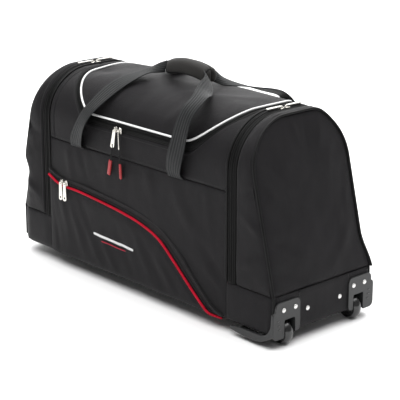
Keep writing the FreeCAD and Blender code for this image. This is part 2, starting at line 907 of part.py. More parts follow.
def make_carry_handle(side, word):
    webbing = doc.addObject("Part::Feature", f"{word}_webbing")
    right_leg = REAR_RIGHT_LEG if side > 0 else RIGHT_LEG
    webbing.Shape = Part.makeCompound([leg_shape(leg, side) for leg in (LEFT_LEG, right_leg)])
    keep(webbing, f"{word}_webbing")
    roll = cylinder(
        f"{word}_grip_roll",
        "grip_pad_radius",
        "grip_pad_end + grip_pad_start",
        X_AXIS,
        ("-grip_pad_start", "0", "grip_pad_level"),
    )
    half = box(
        f"{word}_grip_half",
        ("-grip_pad_start - 1", "grip_pad_end + 1"),
        side_of_bag(side, "body_gap / 2", "grip_pad_radius + 5"),
        ("grip_pad_level - 30", "grip_pad_level + 30"),
    )
    keep(common(f"{word}_grip_pad", roll, half), f"{word}_grip_pad")


# Zip sliders and pullers


def slider(node, x, y, z, turned=False):
    """A slider's body; turned ones lie on top of the bag."""
    made = rounded_block(node, "slider_width", "slider_thick", "slider_height", "slider_round", Y_AXIS)
    if turned:
        made.Placement = Placement(Vector(), Rotation(X_AXIS, 90))
    place(made, x, y, z)
    return made


def hanging(thing, hinge, turn, drop):
    """Put a body so that its middle hangs a drop below a hinge, then turn it about the hinge."""
    thing.Placement = Placement(hinge, turn).multiply(Placement(Vector(0, 0, -drop), Rotation()))


def puller(node, hinge, turn):
    """A flat metal tab with rounded corners and an eye near its free end."""
    made = body(node)
    plate = pad(made, sketch_rectangle(made, "XZ_Plane", "puller_width", "puller_length"), "puller_thick")
    through = along(Y_AXIS)
    round_edges(made, plate, "puller_round", lambda middle, way: through(way))
    eye = sketch(made, "XZ_Plane")
    centre = Vector(0, -size("puller_length") / 2 + 4, 0)
    eye.addGeometry(Part.Circle(centre, Z_AXIS, size("puller_hole")))
    wide = eye.addConstraint(Sketcher.Constraint("Radius", 0, size("puller_hole")))
    bind(eye, **{f"Constraints[{wide}]": "puller_hole"})
    pocket_through(made, eye)
    hanging(made, hinge, turn, size("puller_length") / 2 + size("puller_lift"))
    return made


def make_main_sliders():
    """Two sliders that meet on the front of the lid's zip, each with a cord loop and a tag."""
    front = -size("main_slider_face") - size("puller_thick") / 2 - 0.5
    for side, word in ((-1, "left"), (1, "right")):
        cell = f"main_slider_{word}"
        middle_y = "-main_slider_face + slider_thick / 2"
        slider(f"main_{word}_slider", f"-{cell}", middle_y, "main_slider_level")
        hinge = Vector(-size(cell), front, size("main_slider_level"))
        turn = Rotation(Y_AXIS, size(f"main_{word}_tilt"))
        puller(f"main_{word}_puller", hinge, turn)
        cord = rounded_block(
            f"main_{word}_cord", "cord_width", "cord_thick", "cord_length", "puller_hole / 2", Z_AXIS
        )
        cord_drop = size("puller_lift") + size("puller_length") + size("cord_length") / 2
        hanging(cord, hinge, turn, cord_drop)
        tag = rounded_block(
            f"main_{word}_tag", "tag_width", "tag_thick", "tag_length", "tag_round", Z_AXIS
        )
        hanging(tag, hinge, turn, cord_drop + (size("cord_length") + size("tag_length")) / 2)


def make_pocket_sliders():
    front = -size("pocket_slider_face") - size("puller_thick") / 2 - 0.5
    for word in ("left", "right"):
        cell = f"pocket_slider_{word}"
        middle_y = "-pocket_slider_face + slider_thick / 2"
        slider(f"pocket_{word}_slider", f"-{cell}", middle_y, "pocket_slider_level")
        hinge = Vector(-size(cell), front, size("pocket_slider_level"))
        puller(f"pocket_{word}_puller", hinge, Rotation())


def make_end_sliders():
    """Two sliders that meet at the ridge on each end zip, with pullers lying along the zip."""
    top = size("end_slider_face") + size("puller_thick") / 2 + 0.5
    for end, end_word in ((-1, "left"), (1, "right")):
        for side, side_word in ((-1, "front"), (1, "rear")):
            name = f"{end_word}_{side_word}"
            x = f"{end} * end_slider_place"
            y = f"{side} * end_slider_from_ridge"
            slider(f"{name}_end_slider", x, y, "end_slider_face - slider_thick / 2", turned=True)
            hinge = Vector(end * size("end_slider_place"), side * size("end_slider_from_ridge"), top)
            turn = Rotation(X_AXIS, 90 * side)
            puller(f"{name}_end_puller", hinge, turn)


def check_and_write():
    doc.recompute()
    broken = [thing.Name for thing in doc.Objects if {"Invalid", "Error"} & set(thing.State)]
    if broken:
        raise RuntimeError(f"these objects failed: {broken}")
    for node, thing in nodes.items():
        if thing.Shape.isNull() or not thing.Shape.isValid() or not thing.Shape.Solids:
            raise RuntimeError(f"{node} has no valid shape")
    os.makedirs("parts", exist_ok=True)
    for node, thing in nodes.items():
        thing.Shape.exportStep(f"parts/{node}.step")


fill_sheet()
make_base()
make_side_panels()
make_lid()
for end, end_name in ((-1, "left"), (1, "right")):
    make_end(end, end_name)
make_end_tapes()
make_lower_end(-1, "left", cup_space())
make_lower_end(1, "right", fuse("end_wells", well_space("front_end", -1), well_space("rear_end", 1)))
make_front_pocket()
for side_sign, side_name in ((-1, "front"), (1, "rear")):
    make_wheel_housing(side_sign, side_name)
    make_wheel(side_sign, side_name)
    make_carry_handle(side_sign, side_name)
make_axles()
make_rivets()
make_tubes()
make_foot_bracket()
make_pull_grip()
make_handle_cup()
make_feet()
make_main_sliders()
make_pocket_sliders()
make_end_sliders()
check_and_write()
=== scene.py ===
import json
import math

import bmesh
import bpy
import numpy as np
from mathutils import Matrix, Vector, noise

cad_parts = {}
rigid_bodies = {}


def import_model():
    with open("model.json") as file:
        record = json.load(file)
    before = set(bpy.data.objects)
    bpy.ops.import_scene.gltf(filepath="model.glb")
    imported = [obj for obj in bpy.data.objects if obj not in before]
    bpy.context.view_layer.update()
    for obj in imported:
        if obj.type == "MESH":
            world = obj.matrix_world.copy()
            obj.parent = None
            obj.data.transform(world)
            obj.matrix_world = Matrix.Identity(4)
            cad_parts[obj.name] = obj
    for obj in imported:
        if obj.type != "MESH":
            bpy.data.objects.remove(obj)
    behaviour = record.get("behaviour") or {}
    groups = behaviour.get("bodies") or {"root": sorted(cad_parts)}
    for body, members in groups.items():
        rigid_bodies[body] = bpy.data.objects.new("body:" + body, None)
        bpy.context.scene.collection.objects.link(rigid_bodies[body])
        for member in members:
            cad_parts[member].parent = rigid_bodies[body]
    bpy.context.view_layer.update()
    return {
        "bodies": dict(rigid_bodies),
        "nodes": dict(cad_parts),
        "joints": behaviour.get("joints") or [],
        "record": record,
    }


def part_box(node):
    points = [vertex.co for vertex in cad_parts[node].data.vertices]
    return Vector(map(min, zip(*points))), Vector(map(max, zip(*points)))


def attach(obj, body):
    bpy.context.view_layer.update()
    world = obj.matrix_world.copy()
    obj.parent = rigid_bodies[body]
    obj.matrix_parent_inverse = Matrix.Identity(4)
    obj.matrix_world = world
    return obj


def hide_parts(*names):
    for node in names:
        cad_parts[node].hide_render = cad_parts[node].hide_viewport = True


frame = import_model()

# ---------------------------------------------------------------- sizes, read from the frame

HALF_WIDTH = -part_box("front_lower_panel")[0].y
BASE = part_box("base_panel")[0].z
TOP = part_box("end_zipper_tapes")[1].z
SEAM_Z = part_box("front_lower_panel")[1].z
BAND_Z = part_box("left_lower_end")[1].z
PANEL_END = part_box("front_lower_panel")[1].x
TAPE_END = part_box("end_zipper_tapes")[1].x
HALF_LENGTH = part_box("base_panel")[1].x
CAP_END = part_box("right_end_panel")[1].x
CAP_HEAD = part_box("right_end_panel")[0].x
LID_LEFT, LID_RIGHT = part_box("lid_panel")[0].x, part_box("lid_panel")[1].x
LID_X = (LID_RIGHT - LID_LEFT) / 2
LID_SHIFT = (LID_RIGHT + LID_LEFT) / 2
LID_Y = -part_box("lid_panel")[0].y
LID_REAR_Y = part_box("lid_panel")[1].y
ZIP_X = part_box("main_zipper_tape")[1].x - LID_SHIFT
ZIP_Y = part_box("main_zipper_tape")[1].y

ARCH_RADIUS = 0.095
BASE_RADIUS = 0.010
CORNER_RADIUS = 0.016
LID_CORNER = 0.100
ZIP_CORNER = 0.105
SHEET = 0.0016
CROWN = 0.0025

# Arc lengths along the section, from the front base edge over the ridge to the rear.
S_LOW = BASE_RADIUS * (1 - math.pi / 2)
S_BEND = TOP - ARCH_RADIUS - BASE
S_FLAT = S_BEND + ARCH_RADIUS * math.pi / 2
S_RIDGE = S_FLAT + HALF_WIDTH - ARCH_RADIUS
S_SEAM = SEAM_Z - BASE
S_BAND = BAND_Z - BASE
END_SLOPE = (CAP_END - CAP_HEAD) / (TOP - BAND_Z)


def section(s):
    """Y, Z and the outward normal of the bag's section at arc lengths s."""
    s = np.asarray(s, float)
    rear = s > S_RIDGE
    t = np.where(rear, 2 * S_RIDGE - s, s)
    low = np.clip((BASE_RADIUS - t) / BASE_RADIUS, 0, math.pi / 2)
    high = np.clip((t - S_BEND) / ARCH_RADIUS, 0, math.pi / 2)
    y = -HALF_WIDTH + BASE_RADIUS * (1 - np.cos(low)) + ARCH_RADIUS * (1 - np.cos(high))
    y = y + np.clip(t - S_FLAT, 0, None)
    z = BASE + np.clip(t, BASE_RADIUS, S_BEND) - BASE_RADIUS * np.sin(low) + ARCH_RADIUS * np.sin(high)
    ny = -np.cos(low) * np.cos(high)
    nz = np.sin(high) - np.sin(low)
    flip = np.where(rear, -1.0, 1.0)
    return y * flip, z, ny * flip, nz


def step(low, high, value):
    """A smooth step from 0 at low to 1 at high."""
    t = np.clip((value - low) / (high - low), 0, 1)
    return t * t * (3 - 2 * t)


REAR_SAG = 0.017
LOW_CORNER = 0.045
HIGH_CORNER = 0.012


def settle(points):
    """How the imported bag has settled: rear drawn in towards the wheels, left corners rounded."""
    p = np.array(points, float)
    shape = p.shape
    p = p.reshape(-1, 3)
    x, y, z = p.T
    sag = REAR_SAG * step(0.10, 0.30, x) * step(0.035, 0.11, y) * step(0.095, 0.17, z)
    p[:, 1] = y - sag
    flat = HALF_WIDTH - ARCH_RADIUS
    centre_z = TOP - ARCH_RADIUS
    over = np.clip(np.abs(y) - flat, 0, None)
    up = np.clip(z - centre_z, 0, None)
    reach = np.hypot(over, up)
    arched = z > centre_z
    beside = np.where(arched, ARCH_RADIUS - reach, HALF_WIDTH - np.abs(y))
    radius = LOW_CORNER + (HIGH_CORNER - LOW_CORNER) * step(0.17, 0.225, z)
    ahead = x + np.where(z > BAND_Z, CAP_END - END_SLOPE * (z - BAND_Z), HALF_LENGTH)
    u, v = np.clip(ahead, 0, None), np.clip(beside, 0, None)
    depth = np.minimum(u, v)
    inner = np.clip(radius - depth, 1e-6, None)
    turn = math.pi / 4 * np.clip(1 - (np.maximum(u, v) - depth) / inner, 0, 1)
    near, far = radius - inner * np.sin(turn), radius - inner * np.cos(turn)
    new_u = np.where(v <= u, near, far)
    new_v = np.where(v <= u, far, near)
    bent = (x < -0.2) & (np.maximum(u, v) < radius)
    safe = np.where(reach > 1e-9, reach, 1)
    normal_y = np.where(arched, over / safe, 1.0) * np.sign(y)
    normal_z = np.where(arched, up / safe, 0.0)
    p[:, 0] = x + np.where(bent, new_u - u, 0)
    p[:, 1] -= np.where(bent, (new_v - v) * normal_y, 0)
    p[:, 2] -= np.where(bent, (new_v - v) * normal_z, 0)
    return p.reshape(shape)


def distance_along(path):
    """How far along a path each of its points is."""
    steps = np.linalg.norm(np.diff(path, axis=0), axis=1)
    return np.concatenate([[0], np.cumsum(steps)])


def bump(t, power=2):
    return np.clip(1 - np.abs(t) ** power, 0, None)


def fold(u, v, centre, angle, length, width, height):
    """A soft ridge, or a dent if the height is negative, along a line on a panel."""
    du, dv = u - centre[0], v - centre[1]
    a = math.radians(angle)
    along = du * math.cos(a) + dv * math.sin(a)
    across = dv * math.cos(a) - du * math.sin(a)
    return height * np.exp(-((across / width) ** 2) - (along / length) ** 2)


def rumple(points, scale, height, seed):
    """Smooth random unevenness at each point, a few wave lengths deep."""
    flat = np.asarray(points, float).reshape(-1, 3)
    out = np.empty(len(flat))
    for i, p in enumerate(flat):
        q = Vector(p) / scale + Vector((seed, seed * 1.7, -seed))
        out[i] = noise.noise(q) + 0.45 * noise.noise(q * 2.3)
    return height * out.reshape(np.shape(points)[:-1])


def crown(y):
    return CROWN * np.exp(-((y / 0.062) ** 4))


def skin(x, s, lift=0.0):
    """Points on the bag's outer surface, lifted along its normal."""
    x, s, lift = np.broadcast_arrays(np.asarray(x, float), np.asarray(s, float), lift)
    y, z, ny, nz = section(s)
    out = lift + crown(y) * (nz > 0.3)
    out = out - 0.006 * np.exp(-(((x + 0.205) / 0.03) ** 2) - ((y + 0.035) / 0.03) ** 2)
    return np.stack([x, y + ny * out, z + nz * out], -1)


def arc_of(y):
    """The arc length at a distance y across the top or shoulders of the section."""
    y = np.asarray(y, float)
    flat = HALF_WIDTH - ARCH_RADIUS
    beyond = np.clip((np.abs(y) - flat) / ARCH_RADIUS, 0, 1)
    return S_RIDGE + np.sign(y) * (np.minimum(np.abs(y), flat) + ARCH_RADIUS * np.arcsin(beyond))


def end_x(z):
    """How far out the leaning end panel stands at a height."""
    return CAP_END - END_SLOPE * (np.asarray(z) - BAND_Z)


def seamed(low, high, count, fine=(0.0, 0.0007, 0.0018, 0.0038)):
    """Samples from low to high with extra ones close to both ends, where a seam turns in."""
    span = high - low
    near = np.array(fine) / abs(span)
    middle = np.linspace(near[-1], 1 - near[-1], count)[1:-1]
    return low + span * np.concatenate([near, middle, 1 - near[::-1]])


def turned_in(distance, depth=0.0026, reach=0.0016):
    """How deep an edge turns in at a distance from its seam."""
    return -depth * np.exp(-np.abs(distance) / reach)


# ---------------------------------------------------------------- meshes and curves


def add(obj):
    bpy.context.scene.collection.objects.link(obj)
    return obj


def finish_piece(obj, body, material, replaces=()):
    obj.data.materials.clear()
    obj.data.materials.append(material)
    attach(obj, body)
    if replaces:
        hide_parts(*replaces)
    return obj


def mesh_from(name, vertices, faces, uvs=None, smooth=True):
    mesh = bpy.data.meshes.new(name)
    mesh.from_pydata([tuple(map(float, v)) for v in vertices], [], [tuple(map(int, f)) for f in faces])
    if uvs is not None:
        layer = mesh.uv_layers.new(name="weave")
        loops = np.zeros(len(mesh.loops), np.int32)
        mesh.loops.foreach_get("vertex_index", loops)
        layer.data.foreach_set("uv", np.asarray(uvs, np.float32)[loops].ravel())
    mesh.update()
    if smooth:
        mesh.polygons.foreach_set("use_smooth", [True] * len(mesh.polygons))
    return add(bpy.data.objects.new(name, mesh))


def grid_faces(rows, cols, start=0, closed_rows=False, closed_cols=False):
    faces = []
    for i in range(rows - (0 if closed_rows else 1)):
        for j in range(cols - (0 if closed_cols else 1)):
            a = start + i * cols + j
            b = start + i * cols + (j + 1) % cols
            c = start + ((i + 1) % rows) * cols + (j + 1) % cols
            d = start + ((i + 1) % rows) * cols + j
            faces.append((a, b, c, d))
    return faces


def grids(name, parts, thickness=SHEET, outward=None):
    """One object from several point grids, each with the UVs of its weave in metres."""
    vertices, faces, uvs = [], [], []
    for points, uv in parts:
        points = settle(points)
        rows, cols = points.shape[:2]
        part_faces = np.array(grid_faces(rows, cols, len(vertices)))
        flat = points.reshape(-1, 3)
        mid = (rows // 2) * cols + cols // 2
        mid = min(mid, (rows - 2) * cols + cols - 2)
        side = np.cross(flat[mid + 1] - flat[mid], flat[mid + cols] - flat[mid])
        if outward is None:
            away = flat[mid] - np.array([0, 0, 0.15])
            away = away * (0.2, 1, 1) if abs(flat[mid][0]) < PANEL_END + 0.03 else away
        else:
            away = np.array(outward)
        if side @ away < 0:
            part_faces = part_faces[:, ::-1]
        faces.extend(part_faces.tolist())
        vertices.extend(flat.tolist())
        uvs.extend(uv.reshape(-1, 2).tolist())
    obj = mesh_from(name, vertices, faces, uvs)
    if thickness:
        solid = obj.modifiers.new("thickness", "SOLIDIFY")
        solid.thickness = thickness
        solid.offset = -1
    return obj


def add_loop(curve, points, closed=True):
    """A straight-sided spline through points, which are 2-D or 3-D."""
    spline = curve.splines.new("POLY")
    spline.points.add(len(points) - 1)
    for point, place in zip(spline.points, points):
        x, y, z = (*map(float, place), 0.0)[:3]
        point.co = (x, y, z, 1)
    spline.use_cyclic_u = closed


def round_cord(name, points, radius, closed):
    """A curve object with a round section."""
    curve = bpy.data.curves.new(name, "CURVE")
    curve.dimensions = "3D"
    add_loop(curve, points, closed)
    curve.bevel_depth = radius
    curve.bevel_resolution = 3
    curve.use_fill_caps = not closed
    return add(bpy.data.objects.new(name, curve))


def flat_plate(name, outlines, depth, bevel, resolution):
    """A curve object filled between closed 2-D outlines, with bevelled edges."""
    curve = bpy.data.curves.new(name, "CURVE")
    curve.dimensions = "2D"
    curve.fill_mode = "BOTH"
    curve.extrude = depth / 2 - bevel
    curve.bevel_depth = bevel
    curve.bevel_resolution = resolution
    for points in outlines:
        add_loop(curve, points)
    return add(bpy.data.objects.new(name, curve))


def turned_to_mesh(obj):
    """A mesh object in place of a curve object."""
    name = obj.data.name
    mesh = bpy.data.meshes.new_from_object(obj)
    bpy.data.objects.remove(obj)
    return add(bpy.data.objects.new(name, mesh))


def tube(name, points, radius, body, material, closed=False):
    """A round bead along a path on the bag."""
    obj = round_cord(name, settle(points), radius, closed)
    return finish_piece(obj, body, material)


def smooth_path(stations, count):
    """Points along a Catmull-Rom curve through the stations, of any dimension."""
    p = np.array(stations, float)
    p = np.vstack([2 * p[0] - p[1], p, 2 * p[-1] - p[-2]])
    spans = len(p) - 3
    out = []
    for k in np.linspace(0, spans - 1e-9, count):
        i = int(k)
        t = k - i
        a, b, c, d = p[i : i + 4]
        out.append(
            0.5 * (2 * b + (c - a) * t + (2 * a - 5 * b + 4 * c - d) * t**2 + (3 * b - a - 3 * c + d) * t**3)
        )
    return np.array(out)


# ---------------------------------------------------------------- materials


class Nodes:
    """A small wrapper that adds nodes to a material and links them."""

    def __init__(self, name):
        self.material = bpy.data.materials.new(name)
        self.material.use_nodes = True
        self.tree = self.material.node_tree
        self.shader = self.tree.nodes["Principled BSDF"]

    def add(self, kind, inputs=None, **settings):
        node = self.tree.nodes.new(kind)
        for key, value in settings.items():
            setattr(node, key, value)
        for key, value in (inputs or {}).items():
            self.set(node, key, value)
        return node

    def set(self, node, key, value):
        socket = node.inputs[key]
        if isinstance(value, bpy.types.NodeSocket):
            self.tree.links.new(value, socket)
        else:
            socket.default_value = value

    def shade(self, **values):
        for key, value in values.items():
            self.set(self.shader, key.replace("_", " "), value)

    def mix(self, factor, low, high):
        """A colour between two, by a factor."""
        node = self.add("ShaderNodeMix", data_type="RGBA")
        self.set(node, 0, factor)
        self.set(node, 6, low)
        self.set(node, 7, high)
        return node.outputs[2]

    def math(self, operation, a, b=0.0):
        node = self.add("ShaderNodeMath", operation=operation)
        self.set(node, 0, a)
        self.set(node, 1, b)
        return node.outputs[0]

    def ramp(self, factor, low, high):
        node = self.add("ShaderNodeMapRange", {"Value": factor, "From Min": low, "From Max": high})
        return node.outputs[0]

    def noise(self, vector, scale, detail=3.0, rough=0.5):
        node = self.add(
            "ShaderNodeTexNoise", {"Vector": vector, "Scale": scale, "Detail": detail, "Roughness": rough}
        )
        return node.outputs[0]

    def bumped(self, height, strength, distance):
        node = self.add("ShaderNodeBump", {"Height": height, "Strength": strength, "Distance": distance})
        self.shade(Normal=node.outputs[0])


def grey(value, warm=0.0):
    return (value * (1 + warm), value, value * (1 - warm), 1)


def woven(name, dark, light, pitch, roughness, relief, sheen=0.03, diagonal=False, crumple=0.0):
    """Cloth with a plain or twill weave, cloudy dye and lighter worn places."""
    n = Nodes(name)
    weave = n.add("ShaderNodeUVMap", uv_map="weave").outputs[0]
    place = n.add("ShaderNodeTexCoord").outputs["Object"]
    split = n.add("ShaderNodeSeparateXYZ", {"Vector": weave})
    rate = 2 * math.pi / pitch
    if diagonal:
        u = n.math("ADD", split.outputs[0], split.outputs[1])
        v = n.math("SUBTRACT", split.outputs[0], split.outputs[1])
    else:
        u, v = split.outputs[0], split.outputs[1]
    warp = n.math("SINE", n.math("MULTIPLY", u, rate))
    weft = n.math("SINE", n.math("MULTIPLY", v, rate))
    yarn = n.ramp(n.math("MULTIPLY", warp, weft), -1, 1)
    cloud = n.noise(place, 9.0, 4.0)
    slub = n.noise(place, 420.0, 2.0)
    tone = n.math("ADD", n.math("MULTIPLY", cloud, 0.55), n.math("MULTIPLY", slub, 0.3))
    tone = n.math("ADD", tone, n.math("MULTIPLY", yarn, 0.25))
    n.shade(Base_Color=n.mix(n.ramp(tone, 0.25, 0.9), dark, light))
    n.shader.inputs["Sheen Weight"].default_value = sheen
    n.shader.inputs["Sheen Roughness"].default_value = 0.35
    n.shader.inputs["Specular IOR Level"].default_value = 0.16
    height = n.math("ADD", n.math("MULTIPLY", yarn, 0.6), n.math("MULTIPLY", slub, 0.4))
    ripple = n.noise(place, 26.0, 3.0)
    height = n.math("ADD", height, n.math("MULTIPLY", ripple, crumple))
    n.bumped(height, relief, 0.0004)
    spread = n.add(
        "ShaderNodeMapRange", {"Value": cloud, "To Min": roughness - 0.08, "To Max": roughness + 0.1}
    )
    n.shade(Roughness=spread.outputs[0])
    return n.material


def moulded(name, dark, light, roughness, grain, relief, coat=0.0, gloss=0.5):
    """Plastic or rubber with a fine grain and faint scuffs."""
    n = Nodes(name)
    place = n.add("ShaderNodeTexCoord").outputs["Object"]
    fine = n.noise(place, grain, 2.0)
    scuff = n.noise(place, 38.0, 6.0, 0.7)
    n.shade(Base_Color=n.mix(n.ramp(scuff, 0.35, 0.75), dark, light))
    spread = n.add(
        "ShaderNodeMapRange", {"Value": scuff, "To Min": roughness - 0.07, "To Max": roughness + 0.12}
    )
    n.shade(Roughness=spread.outputs[0])
    n.shader.inputs["Specular IOR Level"].default_value = gloss
    n.shader.inputs["Coat Weight"].default_value = coat
    n.shader.inputs["Coat Roughness"].default_value = 0.12
    n.bumped(fine, relief, 0.0003)
    return n.material


def metal(name, colour, roughness, brushed=0.0):
    """Plated or drawn metal with faint handling marks."""
    n = Nodes(name)
    place = n.add("ShaderNodeTexCoord").outputs["Object"]
    across = 1 + 30 * brushed
    stretch = n.add("ShaderNodeMapping", {"Vector": place, "Scale": (1, across, across)})
    marks = n.noise(stretch.outputs[0], 160.0, 5.0, 0.7)
    darker = tuple(c * 0.72 for c in colour[:3]) + (1,)
    n.shade(Base_Color=n.mix(n.ramp(marks, 0.3, 0.7), darker, colour))
    spread = n.add(
        "ShaderNodeMapRange", {"Value": marks, "To Min": roughness, "To Max": roughness + 0.16}
    )
    n.shade(Roughness=spread.outputs[0])
    n.shader.inputs["Metallic"].default_value = 1.0
    n.bumped(marks, 0.15, 0.0001)
    return n.material


DARK_CLOTH = (0.0026, 0.0023, 0.0028, 1)
LIGHT_CLOTH = (0.0115, 0.0103, 0.0118, 1)
FABRIC = woven("black_polyester", DARK_CLOTH, LIGHT_CLOTH, 0.0011, 0.6, 0.75, crumple=7.0)
POCKET_FABRIC = woven("pocket_polyester", DARK_CLOTH, LIGHT_CLOTH, 0.0011, 0.6, 0.75, crumple=6.0)
GRIP_FABRIC = woven("grip_fabric", grey(0.014, 0.06), grey(0.042, 0.05), 0.0016, 0.6, 0.7, sheen=0.1)
LINING = woven("lining", grey(0.02), grey(0.04), 0.0008, 0.6, 0.2)
TAPE = woven("zip_tape_weave", grey(0.002), grey(0.006), 0.0014, 0.65, 0.6, sheen=0.03, diagonal=True)
WEBBING = woven(
    "webbing_weave", (0.007, 0.0075, 0.0079, 1), (0.021, 0.0222, 0.023, 1), 0.0022, 0.5, 0.9, 0.06, True
)
BLACK_PIPING = moulded("black_piping", grey(0.003), grey(0.008), 0.5, 900.0, 0.3, gloss=0.15)
WHITE_PIPING = moulded("white_piping", grey(0.72), grey(0.85), 0.5, 700.0, 0.25)
RED_PIPING = moulded(
    "red_piping", (0.34, 0.0, 0.012, 1), (0.46, 0.001, 0.022, 1), 0.5, 700.0, 0.25, gloss=0.12
)
THREAD = moulded("thread", grey(0.02), grey(0.05), 0.6, 1200.0, 0.4)
NICKEL = metal("nickel_plate", (0.80, 0.775, 0.72, 1), 0.17)
RIVET_METAL = metal("rivet_nickel", (0.93, 0.92, 0.9, 1), 0.24)
TUBE_METAL = metal("anodised_tube", (0.62, 0.63, 0.65, 1), 0.22, brushed=1.0)
STEEL = metal("axle_steel", (0.5, 0.5, 0.51, 1), 0.3)
RED_RUBBER = moulded("red_rubber", (0.28, 0.010, 0.014, 1), (0.42, 0.028, 0.032, 1), 0.42, 500.0, 0.3)
CORD = woven("cord_braid", grey(0.006), grey(0.02), 0.0012, 0.7, 0.8, diagonal=True)
PLASTIC = moulded("moulded_black", grey(0.010, -0.03), grey(0.018, -0.03), 0.42, 1400.0, 0.45)
WHEEL_RUBBER = moulded("wheel_tread", grey(0.007), grey(0.016), 0.2, 300.0, 0.1, coat=0.35)
HUB_PLASTIC = moulded("hub_plastic", grey(0.012), grey(0.03), 0.32, 600.0, 0.2)
BUTTON_PLASTIC = moulded("button_grey", grey(0.05), grey(0.09), 0.35, 800.0, 0.2)
BOARD_PLASTIC = moulded("board_sheet", grey(0.03), grey(0.06), 0.5, 200.0, 0.4)
FOOT_RUBBER = moulded("foot_rubber", grey(0.015), grey(0.03), 0.7, 400.0, 0.4)
EMBROIDERY_WHITE = woven("embroidery_white", grey(0.62), grey(0.85), 0.0010, 0.55, 1.0, 0.3)
EMBROIDERY_RED = woven(
    "embroidery_red", (0.3, 0.004, 0.02, 1), (0.45, 0.01, 0.04, 1), 0.0010, 0.55, 1.0, 0.3
)

# ---------------------------------------------------------------- side panels and lid


def lid_limit(x, half_x, half_y, corner):
    """Half the width of a rounded-rectangle outline at x."""
    over = np.clip(np.abs(x - LID_SHIFT) - (half_x - corner), 0, corner)
    return half_y - corner + np.sqrt(np.clip(corner**2 - over**2, 0, None))


def columns(half_x, corner, count):
    """Places along X that crowd towards the rounded ends."""
    straight = half_x - corner
    middle = np.linspace(-straight, straight, count)
    bend = straight + corner * np.sin(np.linspace(0, math.pi / 2, 22)[1:])
    return LID_SHIFT + np.concatenate([-bend[::-1], middle, bend])


FRONT_FOLDS = (
    ((-0.20, 0.215), -78, 0.05, 0.010, 0.0016),
    ((-0.155, 0.222), -70, 0.04, 0.008, -0.0012),
    ((-0.08, 0.215), -85, 0.03, 0.010, 0.0009),
    ((0.05, 0.225), -72, 0.04, 0.012, 0.0012),
    ((0.16, 0.17), -50, 0.06, 0.014, 0.0016),
    ((0.22, 0.11), -40, 0.05, 0.010, -0.0016),
    ((0.235, 0.07), -35, 0.04, 0.008, 0.0016),
    ((0.215, 0.20), -82, 0.05, 0.010, 0.0012),
)


def side_panel_lift(x, s, rear):
    """How the lower side panel swells between its seams and creases."""
    lift = 0.0035 * bump(x / PANEL_END, 4) * bump((s - S_SEAM / 2) / (S_SEAM / 2 + 0.01), 2)
    direction = -1 if rear else 1
    for centre, angle, length, width, height in FRONT_FOLDS:
        lift = lift + 1.5 * fold(direction * x, s, centre, angle, length, width, height)
    return lift


def make_lower_panel(rear):
    word = "rear" if rear else "front"
    x = seamed(-PANEL_END, PANEL_END, 96)[None, :]
    s = np.concatenate([np.linspace(S_LOW, 0.012, 7), seamed(0.016, S_SEAM, 44)[3:]])[:, None]
    x, s = np.broadcast_arrays(x, s)
    lift = side_panel_lift(x, s, rear) * bump(x / PANEL_END, 12)
    lift = lift * np.clip((s - S_LOW) / 0.03, 0, 1) * np.clip((S_SEAM - s) / 0.02, 0, 1)
    lift = lift + rumple(skin(x, s), 0.075, 0.0016, 3.1 + rear) * bump(x / PANEL_END, 8)
    lift = lift + turned_in(PANEL_END - np.abs(x)) + turned_in(S_SEAM - s)
    place = 2 * S_RIDGE - s if rear else s
    panel = grids(f"{word}_lower_cloth", [(skin(x, place, lift), np.stack([x, s], -1))])
    finish_piece(panel, "shell", FABRIC, [f"{word}_lower_panel"])


def make_upper_panel(rear):
    word = "rear" if rear else "front"
    parts = []
    across = seamed(0, 1, 24, (0.0, 0.012, 0.03, 0.07))[:, None]
    ends = LID_SHIFT - ZIP_X, LID_SHIFT + ZIP_X
    for x in (
        columns(ZIP_X, ZIP_CORNER, 46),
        np.linspace(-PANEL_END, ends[0], 4),
        np.linspace(ends[1], PANEL_END, 4),
    ):
        outer = np.abs(x - LID_SHIFT) > ZIP_X + 1e-6
        limit = np.where(outer, 0.0, lid_limit(x, ZIP_X, ZIP_Y, ZIP_CORNER))
        if x[0] * x[-1] > 0:
            limit = limit * 0
        s_top = np.minimum(arc_of(-limit), S_RIDGE)[None, :]
        s = S_SEAM + (s_top - S_SEAM) * across
        xs = np.broadcast_to(x[None, :], s.shape)
        swell = 0.0028 * bump(2 * (s - S_SEAM) / 0.16 - 1, 2) * np.clip((np.abs(xs) - 0.17) / 0.06, 0, 1)
        lift = swell * bump(xs / PANEL_END, 10)
        lift = lift + rumple(skin(xs, s), 0.06, 0.0009, 7.7 + rear) * bump(2 * across - 1, 4)
        lift = lift + turned_in(PANEL_END - np.abs(xs)) + turned_in(s - S_SEAM) + turned_in(s_top - s)
        place = 2 * S_RIDGE - s if rear else s
        parts.append((skin(xs, place, lift), np.stack([xs, s], -1)))
    panel = grids(f"{word}_upper_cloth", parts)
    finish_piece(panel, "shell", FABRIC, [f"{word}_upper_panel"])


def outline(half_x, front_y, rear_y, corner, count=16):
    """A rounded rectangle seen from above, anticlockwise from the rear middle."""
    points = []
    straights = (
        ((half_x - corner, rear_y - corner), 0),
        ((-half_x + corner, rear_y - corner), 90),
        ((-half_x + corner, -front_y + corner), 180),
        ((half_x - corner, -front_y + corner), 270),
    )
    for number, ((cx, cy), start) in enumerate(straights):
        for angle in np.radians(start + np.linspace(0, 90, count)):
            points.append((LID_SHIFT + cx + corner * math.cos(angle), cy + corner * math.sin(angle)))
        following = straights[(number + 1) % 4][0]
        turn = math.radians(start + 90)
        last = np.array(points[-1])
        ahead = np.array(following) + corner * np.array([math.cos(turn), math.sin(turn)]) + (LID_SHIFT, 0)
        for t in np.linspace(0, 1, 26)[1:-1]:
            points.append(tuple(last + (ahead - last) * t))
    return np.array(points)


def on_skin(plan, lift):
    return skin(plan[:, 0], arc_of(plan[:, 1]), lift)


